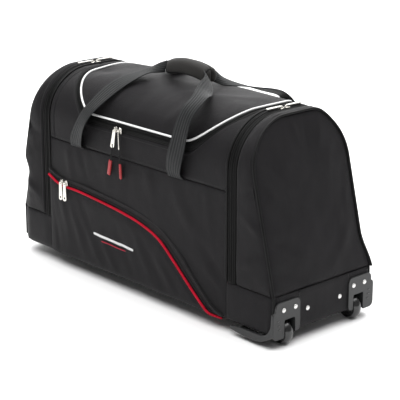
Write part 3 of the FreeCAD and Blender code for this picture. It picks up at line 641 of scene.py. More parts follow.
def make_lid():
    x = columns(LID_X, LID_CORNER, 60)[None, :]
    v = seamed(-1, 1, 52, (0.0, 0.004, 0.011, 0.024))[:, None]
    front = lid_limit(x, LID_X, LID_Y, LID_CORNER)
    rear = lid_limit(x, LID_X, LID_REAR_Y, LID_CORNER)
    low, high = arc_of(-front), arc_of(rear)
    s = low + (high - low) * (v + 1) / 2
    x, s = np.broadcast_arrays(x, s)
    edge = np.minimum(np.minimum(s - low, high - s), LID_X - np.abs(x - LID_SHIFT))
    puff = 0.0042 * (1 - np.exp(-edge / 0.03))
    folds = (
        ((0.10, S_RIDGE - 0.10), 62, 0.05, 0.014, 0.0022),
        ((-0.02, S_RIDGE - 0.11), 84, 0.04, 0.018, -0.0018),
        ((0.17, S_RIDGE - 0.02), 35, 0.06, 0.016, 0.0018),
        ((-0.19, S_RIDGE - 0.03), -30, 0.05, 0.014, -0.0016),
        ((-0.09, S_RIDGE - 0.06), -60, 0.05, 0.016, 0.0016),
    )
    for centre, angle, length, width, height in folds:
        puff = puff + fold(x, s, centre, angle, length, width, height) * np.clip(edge / 0.02, 0, 1)
    puff = puff + rumple(skin(x, s), 0.09, 0.0020, 11.3) * np.clip(edge / 0.02, 0, 1)
    lift = puff + turned_in(edge, 0.0022, 0.002)
    lid = grids("lid_cloth", [(skin(x, s, lift), np.stack([x, s], -1))])
    finish_piece(lid, "lid", FABRIC, ["lid_panel"])
    plan = outline(LID_X, LID_Y, LID_REAR_Y, LID_CORNER)
    path = on_skin(plan, 0.0012)
    bead = tube("lid_piping_bead", path, 0.0020, "lid", WHITE_PIPING, closed=True)
    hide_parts("lid_piping")


def make_main_zip():
    """The tape round the lid, with a covered coil down its middle."""
    inner = outline(LID_X + 0.0006, LID_Y + 0.0006, LID_Y + 0.0006, LID_CORNER + 0.0006)
    outer = outline(ZIP_X, ZIP_Y, ZIP_Y, ZIP_CORNER)
    across = np.array([0, 0.04, 0.1, 0.2, 0.34, 0.42, 0.46, 0.5, 0.54, 0.58, 0.66, 0.8, 0.9, 0.96, 1.0])
    ridge = 0.0011 * np.exp(-(((across - 0.5) / 0.06) ** 4))
    lift = 0.0004 + ridge - 0.0022 * np.exp(-across / 0.05) - 0.0024 * np.exp(-(1 - across) / 0.05)
    inner_s, outer_s = arc_of(inner[:, 1]), arc_of(outer[:, 1])
    rows = []
    for t, up in zip(across, lift):
        x = inner[:, 0] + (outer[:, 0] - inner[:, 0]) * t
        s = inner_s + (outer_s - inner_s) * t
        rows.append(skin(x, s, up))
    points = np.array(rows).transpose(1, 0, 2)
    points = np.concatenate([points, points[:1]])
    middle = points[:, 7]
    run = distance_along(middle)
    uv = np.stack(np.broadcast_arrays(run[:, None], across[None, :] * 0.018), -1)
    tape = grids("main_zip_tape", [(points, uv)], outward=(0, 0, 0))
    orient(tape)
    finish_piece(tape, "shell", TAPE, ["main_zipper_tape"])
    make_teeth("main_zip_teeth", middle, "shell")
    seam = on_skin(outer, -0.0002)
    tube("main_zip_seam", seam, 0.0011, "shell", BLACK_PIPING, closed=True)


def orient(obj):
    """Turn a mesh's faces so that they look away from the bag's middle line."""
    mesh = obj.data
    total = 0.0
    for polygon in list(mesh.polygons)[:: max(1, len(mesh.polygons) // 300)]:
        away = polygon.center - Vector((polygon.center.x * 0.6, 0, 0.2))
        total += polygon.normal.dot(away)
    if total < 0:
        mesh.flip_normals()


BLOCK_FACES = ((1, 3, 7, 5), (0, 1, 5, 4), (2, 6, 7, 3), (0, 2, 3, 1), (4, 5, 7, 6), (0, 4, 6, 2))


def make_teeth(name, path, body, pitch=0.0021, width=0.0046):
    """A zip's coil: small bars laid across the tape, one after another."""
    path = np.asarray(path, float)
    run = distance_along(path)
    places = np.arange(pitch, run[-1] - pitch, pitch)
    centre = np.stack([np.interp(places, run, path[:, k]) for k in range(3)], -1)
    ahead = np.stack([np.interp(places + 0.001, run, path[:, k]) for k in range(3)], -1)
    vertices, faces = [], []
    for c, a in zip(centre, ahead):
        way = (a - c) / np.linalg.norm(a - c)
        up = skin_normal(c)
        side = np.cross(way, up)
        for i in (-1, 1):
            for j in (-1, 1):
                for k in (0, 1):
                    inset = 0.75 if k else 1.0
                    along = way * i * pitch * 0.3 * inset
                    beside = side * j * width * 0.5 * inset
                    vertices.append(c + along + beside + up * (k * 0.0011 - 0.0004))
        first = len(vertices) - 8
        faces += [tuple(first + corner for corner in face) for face in BLOCK_FACES]
    uvs = [(v[0], v[1] + v[2]) for v in vertices]
    teeth = mesh_from(name, settle(vertices), faces, uvs, smooth=False)
    recalculate(teeth)
    return finish_piece(teeth, body, BLACK_PIPING)


def recalculate(obj, weld=False):
    """Make a mesh's faces look outwards, joining points that coincide if asked."""
    work = bmesh.new()
    work.from_mesh(obj.data)
    if weld:
        bmesh.ops.remove_doubles(work, verts=work.verts, dist=1e-6)
    bmesh.ops.recalc_face_normals(work, faces=work.faces)
    work.to_mesh(obj.data)
    work.free()


def skin_normal(p):
    """The outward direction of the bag's section near a point."""
    flat = HALF_WIDTH - ARCH_RADIUS
    if p[2] <= TOP - ARCH_RADIUS:
        return np.array([0.0, math.copysign(1, p[1]), 0.0])
    over = math.copysign(max(abs(p[1]) - flat, 0), p[1])
    way = np.array([0.0, over, p[2] - (TOP - ARCH_RADIUS)])
    return way / np.linalg.norm(way)


# ---------------------------------------------------------------- ends


def end_band(side, low_x, high_x, lift_of, s_low, count):
    """A strip round the arch between two places along X, which may change with s."""
    s = seamed(s_low, 2 * S_RIDGE - s_low, 150)[:, None]
    t = seamed(0, 1, count, (0.0, 0.03, 0.08, 0.16))[None, :]
    z = section(s)[1]
    near, far = low_x(z), high_x(z)
    x = near + (far - near) * t
    x, s, t = np.broadcast_arrays(x, s, t)
    points = skin(side * x, s, lift_of(x, s, t, np.minimum(x - near, far - x)))
    return points, np.stack([s, x], -1)


# Arc length, direction and height of each crease in a gusset.
GUSSET_FOLDS = (
    (0.13, 28, 0.0026),
    (0.20, -24, 0.0022),
    (0.26, 20, -0.0020),
    (0.33, -35, 0.0016),
    (0.70, 30, 0.0022),
    (0.80, -26, 0.002),
)


def make_end(side):
    word = "right" if side > 0 else "left"
    body = f"{word}_end"

    def gusset_lift(x, s, t, edge):
        swell = 0.0036 * (1 - np.exp(-edge / 0.012))
        ends = np.minimum(s - S_BAND, 2 * S_RIDGE - S_BAND - s)
        swell = swell * np.clip(ends / 0.03, 0, 1)
        for place, angle, height in GUSSET_FOLDS:
            crease = 1.5 * fold(x, s, (0.33, place), angle, 0.03, 0.009, height)
            swell = swell + crease * np.clip(edge / 0.012, 0, 1)
        swell = swell + rumple(skin(side * x, s), 0.045, 0.0016, 17 + side) * np.clip(edge / 0.01, 0, 1)
        return swell + turned_in(edge) + turned_in(ends)

    points, uv = end_band(
        side,
        lambda z: TAPE_END + 0.0006 + 0 * z,
        lambda z: end_x(z) - 0.001,
        gusset_lift,
        S_BAND + 0.0006,
        16,
    )
    gusset = grids(f"{word}_gusset_cloth", [(points, uv)], outward=(0, 0, 0))
    orient(gusset)
    finish_piece(gusset, body, FABRIC, [f"{word}_gusset"])

    make_end_face(side, word, body)

    s = np.linspace(S_BAND, 2 * S_RIDGE - S_BAND, 180)
    z = section(s)[1]
    rim = skin(side * (end_x(z) - 0.0014), s, -0.0004)
    tube(f"{word}_end_piping", rim, 0.0023, body, BLACK_PIPING)
    lip = skin(side * (end_x(z) - 0.0085), s, 0.0006)
    tube(f"{word}_gusset_fell", lip, 0.0011, body, BLACK_PIPING)


def make_end_face(side, word, body):
    """The leaning end panel: full in the middle, drawn in along its piping."""
    s = np.concatenate([np.linspace(S_BAND + 0.0006, S_BEND, 44), np.linspace(S_BEND, S_RIDGE, 46)[1:-1]])
    y, z, _, _ = section(s)
    z = z + crown(y) * (z > TOP - 0.03)
    v = seamed(-1, 1, 46, (0.0, 0.008, 0.02, 0.045))
    half = np.abs(y)[:, None] - 0.001
    ys = half * v[None, :]
    zs = np.broadcast_to(z[:, None], ys.shape)
    top_edge = (TOP + CROWN - zs) / 0.03
    side_edge = half * (1 - np.abs(v[None, :])) / 0.03
    low_edge = (zs - BAND_Z) / 0.03
    inside = (1 - np.exp(-np.clip(side_edge, 0, 9))) * (1 - np.exp(-np.clip(top_edge, 0, 9)))
    lift = 0.0070 * inside * (1 - np.exp(-low_edge))
    for centre, angle, length, width, height in (
        ((-0.085, 0.32), -42, 0.05, 0.012, -0.0030),
        ((-0.105, 0.285), -50, 0.04, 0.010, 0.0022),
        ((-0.02, 0.385), -80, 0.025, 0.007, 0.0024),
        ((0.01, 0.375), 84, 0.04, 0.008, -0.0022),
        ((0.045, 0.37), 72, 0.03, 0.008, 0.0016),
        ((-0.105, 0.215), -30, 0.05, 0.012, 0.0026),
        ((-0.10, 0.19), -32, 0.045, 0.010, -0.0024),
        ((-0.09, 0.135), -28, 0.06, 0.012, -0.0028),
        ((0.115, 0.27), 75, 0.05, 0.010, 0.0024),
        ((0.08, 0.17), 40, 0.06, 0.014, 0.0018),
    ):
        lift = lift + 1.4 * fold(ys * side, zs, centre, angle, length, width, height) * inside
    base = np.stack([side * end_x(zs), ys, zs], -1)
    lift = lift + rumple(base, 0.07, 0.0024, 23 + side) * inside
    edge = np.minimum(half * (1 - np.abs(v[None, :])), np.minimum(zs - BAND_Z, TOP + CROWN - zs))
    lift = lift - 0.0028 + turned_in(edge, 0.0030, 0.003)
    slope = math.atan(END_SLOPE)
    out = np.array([side * math.cos(slope), 0, math.sin(slope)])
    points = base + lift[..., None] * out
    face = grids(f"{word}_end_cloth", [(points, np.stack([ys, zs], -1))], outward=(side, 0, 0))
    finish_piece(face, body, FABRIC, [f"{word}_end_panel"])


def make_end_tapes():
    def tape_lift(x, s, t, edge):
        ridge = 0.0010 * np.exp(-(((t - 0.5) / 0.10) ** 4))
        return 0.0002 + ridge + turned_in(edge, 0.0024, 0.0014)

    for side in (-1, 1):
        points, uv = end_band(
            side, lambda z: PANEL_END + 0 * z, lambda z: TAPE_END + 0 * z, tape_lift, S_BAND, 16
        )
        s = np.linspace(S_BAND + 0.002, 2 * S_RIDGE - S_BAND - 0.002, 220)
        word = "right" if side > 0 else "left"
        middle = (PANEL_END + TAPE_END) / 2
        make_teeth(f"{word}_end_teeth", skin(side * middle + 0 * s, s, 0.0012), "shell")
        for place, radius, label in (
            (PANEL_END, 0.0021, "inner"),
            (PANEL_END + 0.0062, 0.0009, "welt"),
            (TAPE_END - 0.0055, 0.0009, "lip"),
        ):
            run = skin(side * place + 0 * s, s, 0.0003)
            tube(f"{word}_zip_{label}_bead", run, radius, "shell", BLACK_PIPING)
        tape = grids(f"{word}_zip_band", [(points, uv)], outward=(0, 0, 0))
        orient(tape)
        finish_piece(tape, "shell", TAPE)
    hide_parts("end_zipper_tapes")


def corner_path(side, start_x):
    """The band's path from the front seam, round both corners, to the rear seam."""
    far = HALF_LENGTH
    r = CORNER_RADIUS if side > 0 else 0.0015
    path = [(x, -HALF_WIDTH) for x in np.linspace(start_x, far - r, 26)]
    path += [
        (far - r + r * math.sin(a), -HALF_WIDTH + r - r * math.cos(a))
        for a in np.linspace(0, math.pi / 2, 9)[1:]
    ]
    path += [(far, y) for y in np.linspace(-HALF_WIDTH + r, 0, 30)[1:]]
    path += [(x, -y) for x, y in path[-2::-1]]
    return np.array(path) * (side, 1)


def make_lower_end(side):
    """The base cloth wrapped up round one end, open where a wheel or the handle cup passes."""
    word = "right" if side > 0 else "left"
    path = corner_path(side, PANEL_END)
    tangent = np.gradient(path, axis=0)
    tangent /= np.linalg.norm(tangent, axis=1)[:, None]
    normal = np.stack([tangent[:, 1], -tangent[:, 0]], 1) * side
    if side > 0:
        housings = [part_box(f"{face}_wheel_housing") for face in ("front", "rear")]
        gap_top = housings[0][1].z - 0.026
        gaps = [(low.y, high.y, gap_top) for low, high in housings]
    else:
        low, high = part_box("handle_cup")
        gaps = [(low.y + 0.006, high.y - 0.006, high.z - 0.011)]
    bends = np.linspace(0, math.pi / 2, 6)
    parts = []
    run = distance_along(path)
    at_end = np.abs(path[:, 0]) > HALF_LENGTH - 0.0005

    def open_above(y):
        return max([top for low, high, top in gaps if low < y < high], default=None)

    start = 0
    bottoms = [open_above(y) if flag else None for y, flag in zip(path[:, 1], at_end)]
    spans = []
    for i in range(1, len(path) + 1):
        if i == len(path) or bottoms[i] != bottoms[start]:
            first = max(start - 1, 0) if bottoms[start] is None else start
            spans.append((first, min(i, len(path) - 1), bottoms[start]))
            start = i
    for first, last, bottom in spans:
        rows = []
        levels = seamed(BASE + BASE_RADIUS, BAND_Z, 16)[3:] if bottom is None else seamed(bottom, BAND_Z, 10)
        index = np.arange(first, last + 1)
        if bottom is None:
            for a in bends[::-1][:-1]:
                inset = BASE_RADIUS * (1 - math.cos(a))
                level = BASE + BASE_RADIUS * (1 - math.sin(a))
                p = path[index] - normal[index] * inset
                rows.append(np.column_stack([p, np.full(len(p), level)]))
        for z in levels:
            swell = 0.0028 * bump(2 * (z - BASE) / (BAND_Z - BASE) - 1, 2) * (~at_end[index])
            swell = swell * np.clip(run[index] / 0.02, 0, 1) * np.clip((run[-1] - run[index]) / 0.02, 0, 1)
            swell = swell * np.clip((HALF_LENGTH - 0.02 - np.abs(path[index][:, 0])) / 0.03, 0, 1)
            dent = turned_in(BAND_Z - z)
            p = path[index] + normal[index] * (swell + dent)[:, None]
            rows.append(np.column_stack([p, np.full(len(p), z)]))
        points = np.array(rows)
        points[..., 0] += rumple(points, 0.05, 0.0006, 31) * at_end[index][None, :] * side * -1
        uv = np.stack(np.broadcast_arrays(run[index][None, :], np.linspace(0, 0.08, len(rows))[:, None]), -1)
        parts.append((points, uv))
    band = grids(f"{word}_band_cloth", parts)
    finish_piece(band, "shell", FABRIC, [f"{word}_lower_end"])
    r = CORNER_RADIUS if side > 0 else 0.0
    for face, sign in (("front", -1), ("rear", 1)):
        bend = HALF_LENGTH - r + r * math.sin(math.pi / 4) + 0.0004
        out = HALF_WIDTH - r + r * math.cos(math.pi / 4) + 0.0004
        post = [(side * bend, sign * out, z) for z in np.linspace(BASE + 0.01, BAND_Z + 0.001, 12)]
        tube(f"{word}_{face}_corner_piping", post, 0.0028, "shell", BLACK_PIPING)


def make_base():
    """The flat underside, with notches over the two wheel wells."""
    edge_x, edge_y = HALF_LENGTH - BASE_RADIUS, HALF_WIDTH - BASE_RADIUS
    axle_x = (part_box("front_tyre")[0].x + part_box("front_tyre")[1].x) / 2
    notch_x = axle_x - 0.031
    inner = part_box("rear_tyre")[0].y - 0.006
    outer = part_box("rear_tyre")[1].y + 0.006
    parts = []
    for x0, x1, y0, y1 in (
        (-edge_x, notch_x, -edge_y, edge_y),
        (notch_x, edge_x, -inner, inner),
        (notch_x, edge_x, outer, edge_y),
        (notch_x, edge_x, -edge_y, -outer),
    ):
        x = np.linspace(x0, x1, max(3, int((x1 - x0) / 0.02)))[None, :]
        y = np.linspace(y0, y1, max(3, int((y1 - y0) / 0.02)))[:, None]
        x, y = np.broadcast_arrays(x, y)
        z = np.full(x.shape, BASE)
        z = z + 0.0008 * bump(x / edge_x, 6) * bump(y / edge_y, 6)
        parts.append((np.stack([x, y, z], -1), np.stack([x, y], -1)))
    base = grids("base_cloth", parts, outward=(0, 0, -1))
    finish_piece(base, "shell", FABRIC, ["base_panel"])


# ---------------------------------------------------------------- front pocket

POCKET_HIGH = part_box("front_pocket_panel")[1]
POCKET_STATIONS = (
    (-PANEL_END, POCKET_HIGH.z + 0.004),
    (-0.226, POCKET_HIGH.z - 0.010),
    (-0.165, 0.1770),
    (-0.094, 0.1715),
    (-0.030, 0.1650),
    (0.030, 0.1545),
    (0.080, 0.1370),
    (0.122, 0.1050),
    (0.155, 0.0770),
    (0.190, 0.0480),
    (0.216, 0.0300),
    (0.247, 0.0225),
)
TAPE_RISES = (0.014, 0.017, 0.018, 0.0185, 0.020, 0.024, 0.027, 0.027, 0.024, 0.0215, 0.019, 0.013)


def pocket_curve(share=0.0, count=120):
    """The pocket's edge as x and s, raised by a share of the zip's width."""
    stations = []
    for number, ((x, z), rise) in enumerate(zip(POCKET_STATIONS, TAPE_RISES)):
        lean = np.clip((number - 4) / 3.0, 0, 1)
        stations.append((x + share * rise * 0.75 * lean, z - BASE + share * rise * (1 - 0.35 * lean)))
    return smooth_path(stations, count)


def pocket_swell(x, s, top):
    inner = np.clip((top - s) / 0.02, 0, 1) * np.clip((s - S_LOW) / 0.02, 0, 1)
    left = np.clip((x + PANEL_END) / 0.02, 0, 1)
    lift = 0.0022 * inner * left
    for centre, angle, length, width, height in (
        ((-0.215, 0.10), -74, 0.06, 0.010, 0.0020),
        ((-0.170, 0.07), -66, 0.06, 0.010, 0.0022),
        ((-0.120, 0.05), -58, 0.06, 0.009, 0.0020),
        ((-0.145, 0.11), -62, 0.06, 0.010, -0.0014),
        ((-0.070, 0.04), -55, 0.05, 0.009, 0.0018),
        ((-0.02, 0.06), -58, 0.05, 0.010, -0.0014),
        ((0.03, 0.07), -60, 0.05, 0.009, 0.0016),
        ((0.07, 0.05), -52, 0.05, 0.009, -0.0014),
        ((0.10, 0.045), -48, 0.04, 0.008, 0.0014),
        ((-0.24, 0.05), -80, 0.05, 0.008, -0.0014),
    ):
        lift = lift + fold(x, s, centre, angle, length, width, height) * inner * left
    return lift


def make_pocket():
    edge = pocket_curve(0.0)
    x = edge[:, 0]
    top = edge[:, 1]
    v = seamed(0, 1, 34, (0.0, 0.008, 0.02, 0.045))[:, None]
    s = S_LOW + (top[None, :] - S_LOW) * v
    xs = np.broadcast_to(x[None, :], s.shape)
    gap = np.minimum(top[None, :] - s, xs + PANEL_END)
    lift = 0.0034 + pocket_swell(xs, s, top[None, :])
    lift = lift + rumple(skin(xs, s), 0.05, 0.0008, 41) * np.clip(gap / 0.02, 0, 1)
    lift = lift + turned_in(gap, 0.0016, 0.002)
    lift = lift * np.clip((s - S_LOW) / 0.012, 0.15, 1)
    panel = grids("pocket_cloth", [(skin(xs, s, lift), np.stack([xs, s], -1))], outward=(0, -1, 0))
    finish_piece(panel, "shell", POCKET_FABRIC, ["front_pocket_panel"])

    across = np.array([0, 0.05, 0.15, 0.28, 0.34, 0.40, 0.46, 0.55, 0.75, 0.9, 0.97, 1.0])
    tenths = np.array([20, 30, 32, 34, 40, 42, 36, 38, 46, 48, 40, 8])  # of a millimetre
    height = tenths / 1e4
    rows = []
    for share, up in zip(across, height):
        curve = pocket_curve(share)
        low_fade = np.clip((curve[:, 1] - S_LOW) / 0.02, 0.2, 1)
        rows.append(skin(curve[:, 0], np.maximum(curve[:, 1], S_LOW), up * low_fade))
    points = np.array(rows)
    run = distance_along(points[0])
    uv = np.stack(np.broadcast_arrays(run[None, :], across[:, None] * 0.02), -1)
    tape = grids("pocket_zip_flap", [(points, uv)], outward=(0, -1, 0))
    finish_piece(tape, "shell", FABRIC, ["pocket_zipper_tape"])
    bead = skin(edge[:, 0], edge[:, 1], 0.0052 * np.clip((edge[:, 1] - S_LOW) / 0.01, 0.5, 1))
    tube("pocket_piping_bead", bead, 0.0025, "shell", RED_PIPING)
    fell_x, fell_s = pocket_curve(1.0).T
    tube("pocket_flap_fell", skin(fell_x, fell_s, 0.0012), 0.0010, "shell", BLACK_PIPING)
    seat = pocket_curve(0.42)
    make_teeth("pocket_zip_teeth", skin(seat[:, 0], seat[:, 1], 0.0036)[2:-8], "shell", 0.0019, 0.0036)


# ---------------------------------------------------------------- carry handles

WEBBING_HALF = 0.0225
WEBBING_THICK = 0.0021

# Centre and half-width of the webbing from a leg's foot to the grip, all as at the front.
LEFT_LEG = (
    ((-0.1695, -0.1322, 0.2690), (0.0225, 0.0, 0.0)),
    ((-0.1645, -0.1400, 0.2860), (0.0211, -0.0035, -0.0066)),
    ((-0.1370, -0.1450, 0.3310), (0.0182, -0.0095, -0.0080)),
    ((-0.1170, -0.1335, 0.3620), (0.0203, -0.0085, -0.0030)),
    ((-0.0960, -0.0865, 0.4020), (0.0211, -0.0060, -0.0030)),
    ((-0.0680, -0.0360, 0.4250), (0.0162, -0.0155, -0.0010)),
    ((-0.0530, -0.0180, 0.4330), (0.0060, -0.0095, -0.0080)),
    ((-0.0400, -0.0090, 0.4360), (0.0, -0.0030, -0.0120)),
)
RIGHT_LEG = (
    ((0.1265, -0.1322, 0.2690), (0.0225, 0.0, 0.0)),
    ((0.1277, -0.1400, 0.2870), (0.0218, -0.0020, -0.0044)),
    ((0.1380, -0.1415, 0.3240), (0.0219, -0.0020, -0.0050)),
    ((0.1530, -0.1310, 0.3910), (0.0209, -0.0042, -0.0028)),
    ((0.1550, -0.0995, 0.4200), (0.0214, 0.0002, 0.0020)),
    ((0.1290, -0.0600, 0.4260), (0.0160, 0.0020, -0.0090)),
    ((0.1030, -0.0260, 0.4320), (0.0075, 0.0030, -0.0105)),
    ((0.0740, -0.0090, 0.4360), (0.0, 0.0030, -0.0120)),
)
REAR_RIGHT_LEG = (
    ((0.1265, -0.1322, 0.2690), (0.0225, 0.0, 0.0)),
    ((0.1277, -0.1400, 0.2870), (0.0218, -0.0020, -0.0044)),
    ((0.1400, -0.1455, 0.3280), (0.0215, -0.0030, -0.0050)),
    ((0.1530, -0.1405, 0.3660), (0.0205, -0.0070, -0.0040)),
    ((0.1430, -0.1275, 0.3910), (0.0180, 0.0100, 0.0080)),
    ((0.1080, -0.1010, 0.3990), (0.0140, 0.0150, 0.0070)),
    ((0.0750, -0.0580, 0.4120), (0.0190, 0.0090, -0.0020)),
    ((0.0735, -0.0250, 0.4270), (0.0080, 0.0030, -0.0110)),
    ((0.0740, -0.0090, 0.4360), (0.0, 0.0030, -0.0120)),
)


def make_leg(name, stations, side):
    """A strap with raised ribs along it."""
    flat = smooth_path([c + w for c, w in stations], 90)
    centre, half = flat[:, :3], flat[:, 3:]
    if side > 0:
        centre = centre * (1, -1, 1)
        half = half * (1, -1, 1)
    ahead = np.gradient(centre, axis=0)
    normal = np.cross(ahead, half)
    normal /= np.linalg.norm(normal, axis=1)[:, None]
    outwards = np.stack([np.zeros(len(centre)), centre[:, 1], centre[:, 2] - 0.25], -1)
    if (normal * outwards).sum() < 0:
        normal = -normal
    across = np.linspace(-1, 1, 61)
    ribs = 0.00045 * np.clip(np.cos(across * math.pi * 6), -0.5, 1) * (np.abs(across) < 0.93)
    edge = WEBBING_THICK / 2 * np.sqrt(np.clip(1 - (np.abs(across) - 0.93).clip(0) ** 2 / 0.0049, 0.02, 1))
    pinch = np.linalg.norm(half, axis=1) / WEBBING_HALF
    curl = 0.003 * (1 - pinch[:, None]) * across[None, :] ** 2
    rows = []
    for i in range(len(centre)):
        top = centre[i] + half[i] * across[:, None] + normal[i] * (edge + ribs - curl[i])[:, None]
        below = edge + ribs * 0.6 + curl[i]
        under = centre[i] + half[i] * across[:, None] - normal[i] * below[:, None]
        rows.append(np.vstack([top, under[::-1]]))
    points = np.array(rows)
    count = points.shape[1]
    faces = grid_faces(len(points), count, closed_cols=True)
    faces += [tuple(range(count))[::-1], tuple(range((len(points) - 1) * count, len(points) * count))]
    run = distance_along(centre)
    width = np.concatenate([across, across[::-1] + 3]) * WEBBING_HALF
    uv = np.stack(np.broadcast_arrays(run[:, None], width[None, :]), -1).reshape(-1, 2)
    leg = mesh_from(name, points.reshape(-1, 3), faces, uv)
    recalculate(leg)
    return leg


GRIP_DROOP = 0.008
GRIP_SHIFT = 0.008  # the wrap sits this far from its CAD box, towards the wheels


def evaluated_mesh(obj):
    """A copy of an object's mesh with its modifiers in it."""
    graph = bpy.context.evaluated_depsgraph_get()
    return bpy.data.meshes.new_from_object(obj.evaluated_get(graph))


def places_of(mesh):
    flat = np.empty(len(mesh.vertices) * 3)
    mesh.vertices.foreach_get("co", flat)
    return flat.reshape(-1, 3)


def swelled(pad, cap):
    """Vertices and faces of a pad after a short cloth simulation under inner pressure."""
    remesh = pad.modifiers.new("remesh", "REMESH")
    remesh.mode = "VOXEL"
    remesh.voxel_size = 0.004
    start = evaluated_mesh(pad)
    pad.modifiers.clear()
    pad.data = start
    cloth = pad.modifiers.new("cloth", "CLOTH")
    cloth.settings.use_pressure = True
    cloth.settings.uniform_pressure_force = 4
    cloth.settings.effector_weights.gravity = 0
    for frame in range(1, 21):
        bpy.context.scene.frame_set(frame)
    before = places_of(start)
    move = places_of(evaluated_mesh(pad)) - before
    size = np.linalg.norm(move, axis=1)[:, None]
    after = before + move * np.minimum(1, cap / np.maximum(size, 1e-9))
    pad.modifiers.clear()
    bpy.context.scene.frame_set(1)
    start.vertices.foreach_set("co", after.ravel())
    rounder = pad.modifiers.new("rounder", "SUBSURF")
    rounder.levels = 1
    final = evaluated_mesh(pad)
    return places_of(final), [tuple(face.vertices) for face in final.polygons]


def make_grip_half(word, side, x0, x1, level, radius):
    """Half of the padded wrap: a crowned D-section, drawn in at both ends."""
    gap = 0.00015
    radius = radius * 0.94
    stations = np.concatenate([[0, 0.012, 0.03, 0.06], np.linspace(0.1, 0.9, 20), [0.94, 0.97, 0.988, 1.0]])
    angles = np.linspace(-math.pi / 2, math.pi / 2, 26)
    rows = []
    for t in stations:
        end = min(t, 1 - t)
        draw = 1 - 0.22 * math.exp(-end / 0.012) - 0.10 * math.exp(-end / 0.10)
        y = side * (gap + radius * 0.95 * draw * np.abs(np.cos(angles)) ** 0.75)
        z = level + radius * draw * 0.97 * np.sign(np.sin(angles)) * np.abs(np.sin(angles)) ** 0.8
        z = z - GRIP_DROOP * (2 * t - 1) ** 2
        rows.append(np.column_stack([np.full(len(angles), x0 + (x1 - x0) * t), y, z]))
    points = np.array(rows)
    count = points.shape[1]
    faces = grid_faces(len(points), count, closed_cols=True)
    faces += [tuple(range(count)), tuple(range((len(points) - 1) * count, len(points) * count))[::-1]]
    uv = np.stack([points[..., 0], np.broadcast_to(angles * radius, points.shape[:2])], -1).reshape(-1, 2)
    pad = mesh_from(f"{word}_grip_cushion", points.reshape(-1, 3), faces, uv)
    recalculate(pad)
    places, faces = swelled(pad, 0.0014)
    places[:, 1] = side * np.clip(side * places[:, 1], gap, None)
    places[:, 0] = np.clip(places[:, 0], x0, x1)
    bpy.data.objects.remove(pad)
    around = np.arctan2(places[:, 2] - level, side * places[:, 1])
    uv = np.stack([places[:, 0], around * radius], -1)
    pad = mesh_from(f"{word}_grip_cushion", places, faces, uv)
    recalculate(pad)
    return pad


def make_handles():
    for word, side in (("front", -1), ("rear", 1)):
        pad_low, pad_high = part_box(f"{word}_grip_pad")
        level = (pad_low.z + pad_high.z) / 2
        radius = (pad_high.z - pad_low.z) / 2
        right_leg = REAR_RIGHT_LEG if side > 0 else RIGHT_LEG
        for name, stations in (("left", LEFT_LEG), ("right", right_leg)):
            leg = make_leg(f"{word}_{name}_strap", stations, side)
            finish_piece(leg, f"{word}_handle", WEBBING)
        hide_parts(f"{word}_webbing")
        ends = (pad_low.x + GRIP_SHIFT, pad_high.x + GRIP_SHIFT)
        cushion = make_grip_half(word, side, *ends, level, radius)
        finish_piece(cushion, f"{word}_handle", GRIP_FABRIC, [f"{word}_grip_pad"])
    make_grip_flap()


def make_grip_flap():
    """The wrap's outer flap over the front of the grip, with a bound edge."""
    low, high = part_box("front_grip_pad")
    level, radius = (low.z + high.z) / 2, (high.z - low.z) / 2
    x0, x1 = low.x + 0.004 + GRIP_SHIFT, high.x - 0.004 + GRIP_SHIFT
    corner = 0.010
    across = np.linspace(0, 1, 22)
    xs = seamed(x0, x1, 40, (0.0, 0.0012, 0.003, 0.006))
    rows = []
    for x in xs:
        near = min(x - x0, x1 - x)
        inset = max(corner - near, 0)
        trim = (corner - math.sqrt(max(corner**2 - inset**2, 0))) / (radius * 1.5)
        angle = math.radians(86) - across * (math.radians(112) * (1 - trim * 0.6))
        end = near / (x1 - x0)
        draw = 1 - 0.12 * math.exp(-end / 0.012) - 0.10 * math.exp(-end / 0.10)
        y = -0.0006 - (radius * 0.95 * draw + 0.0012) * np.abs(np.cos(angle)) ** 0.75
        z = level + (radius * 0.97 * draw + 0.0012) * np.sign(np.sin(angle)) * np.abs(np.sin(angle)) ** 0.8
        z = z - GRIP_DROOP * ((2 * x - x0 - x1) / (x1 - x0)) ** 2
        rows.append(np.column_stack([np.full(len(across), x), y, z]))
    points = np.array(rows)
    uv = np.stack(np.broadcast_arrays(xs[:, None], across[None, :] * 0.035), -1)
    flap = grids("grip_flap_cloth", [(points, uv)], thickness=0.0012, outward=(0, -1, 0.4))
    finish_piece(flap, "front_handle", GRIP_FABRIC)
    hem = np.vstack([points[0], points[1:-1, -1], points[-1][::-1]])
    tube("grip_flap_binding", hem, 0.0016, "front_handle", BLACK_PIPING)


# ---------------------------------------------------------------- sliders, pullers and tags


def soft_box(name, size, bevel, segments=3):
    """A block about its own origin with rounded edges."""
    work = bmesh.new()
    bmesh.ops.create_cube(work, size=1.0)
    bmesh.ops.scale(work, vec=size, verts=work.verts)
    bmesh.ops.bevel(
        work, geom=list(work.edges), offset=bevel, segments=segments, profile=0.5, affect="EDGES"
    )
    mesh = bpy.data.meshes.new(name)
    work.to_mesh(mesh)
    work.free()
    mesh.polygons.foreach_set("use_smooth", [True] * len(mesh.polygons))
    return add(bpy.data.objects.new(name, mesh))


def joined(name, pieces):
    """One mesh object from several, with their modifiers applied."""
    graph = bpy.context.evaluated_depsgraph_get()
    vertices, faces = [], []
    for piece in pieces:
        shown = piece.evaluated_get(graph)
        mesh = shown.to_mesh()
        start = len(vertices)
        vertices += [piece.matrix_world @ v.co for v in mesh.vertices]
        faces += [[start + i for i in p.vertices] for p in mesh.polygons]
        shown.to_mesh_clear()
    for piece in pieces:
        bpy.data.objects.remove(piece)
    uvs = [(v[0], v[1] + v[2]) for v in vertices]
    return mesh_from(name, vertices, faces, uvs)


def moved(obj, matrix):
    obj.data.transform(matrix)
    return obj


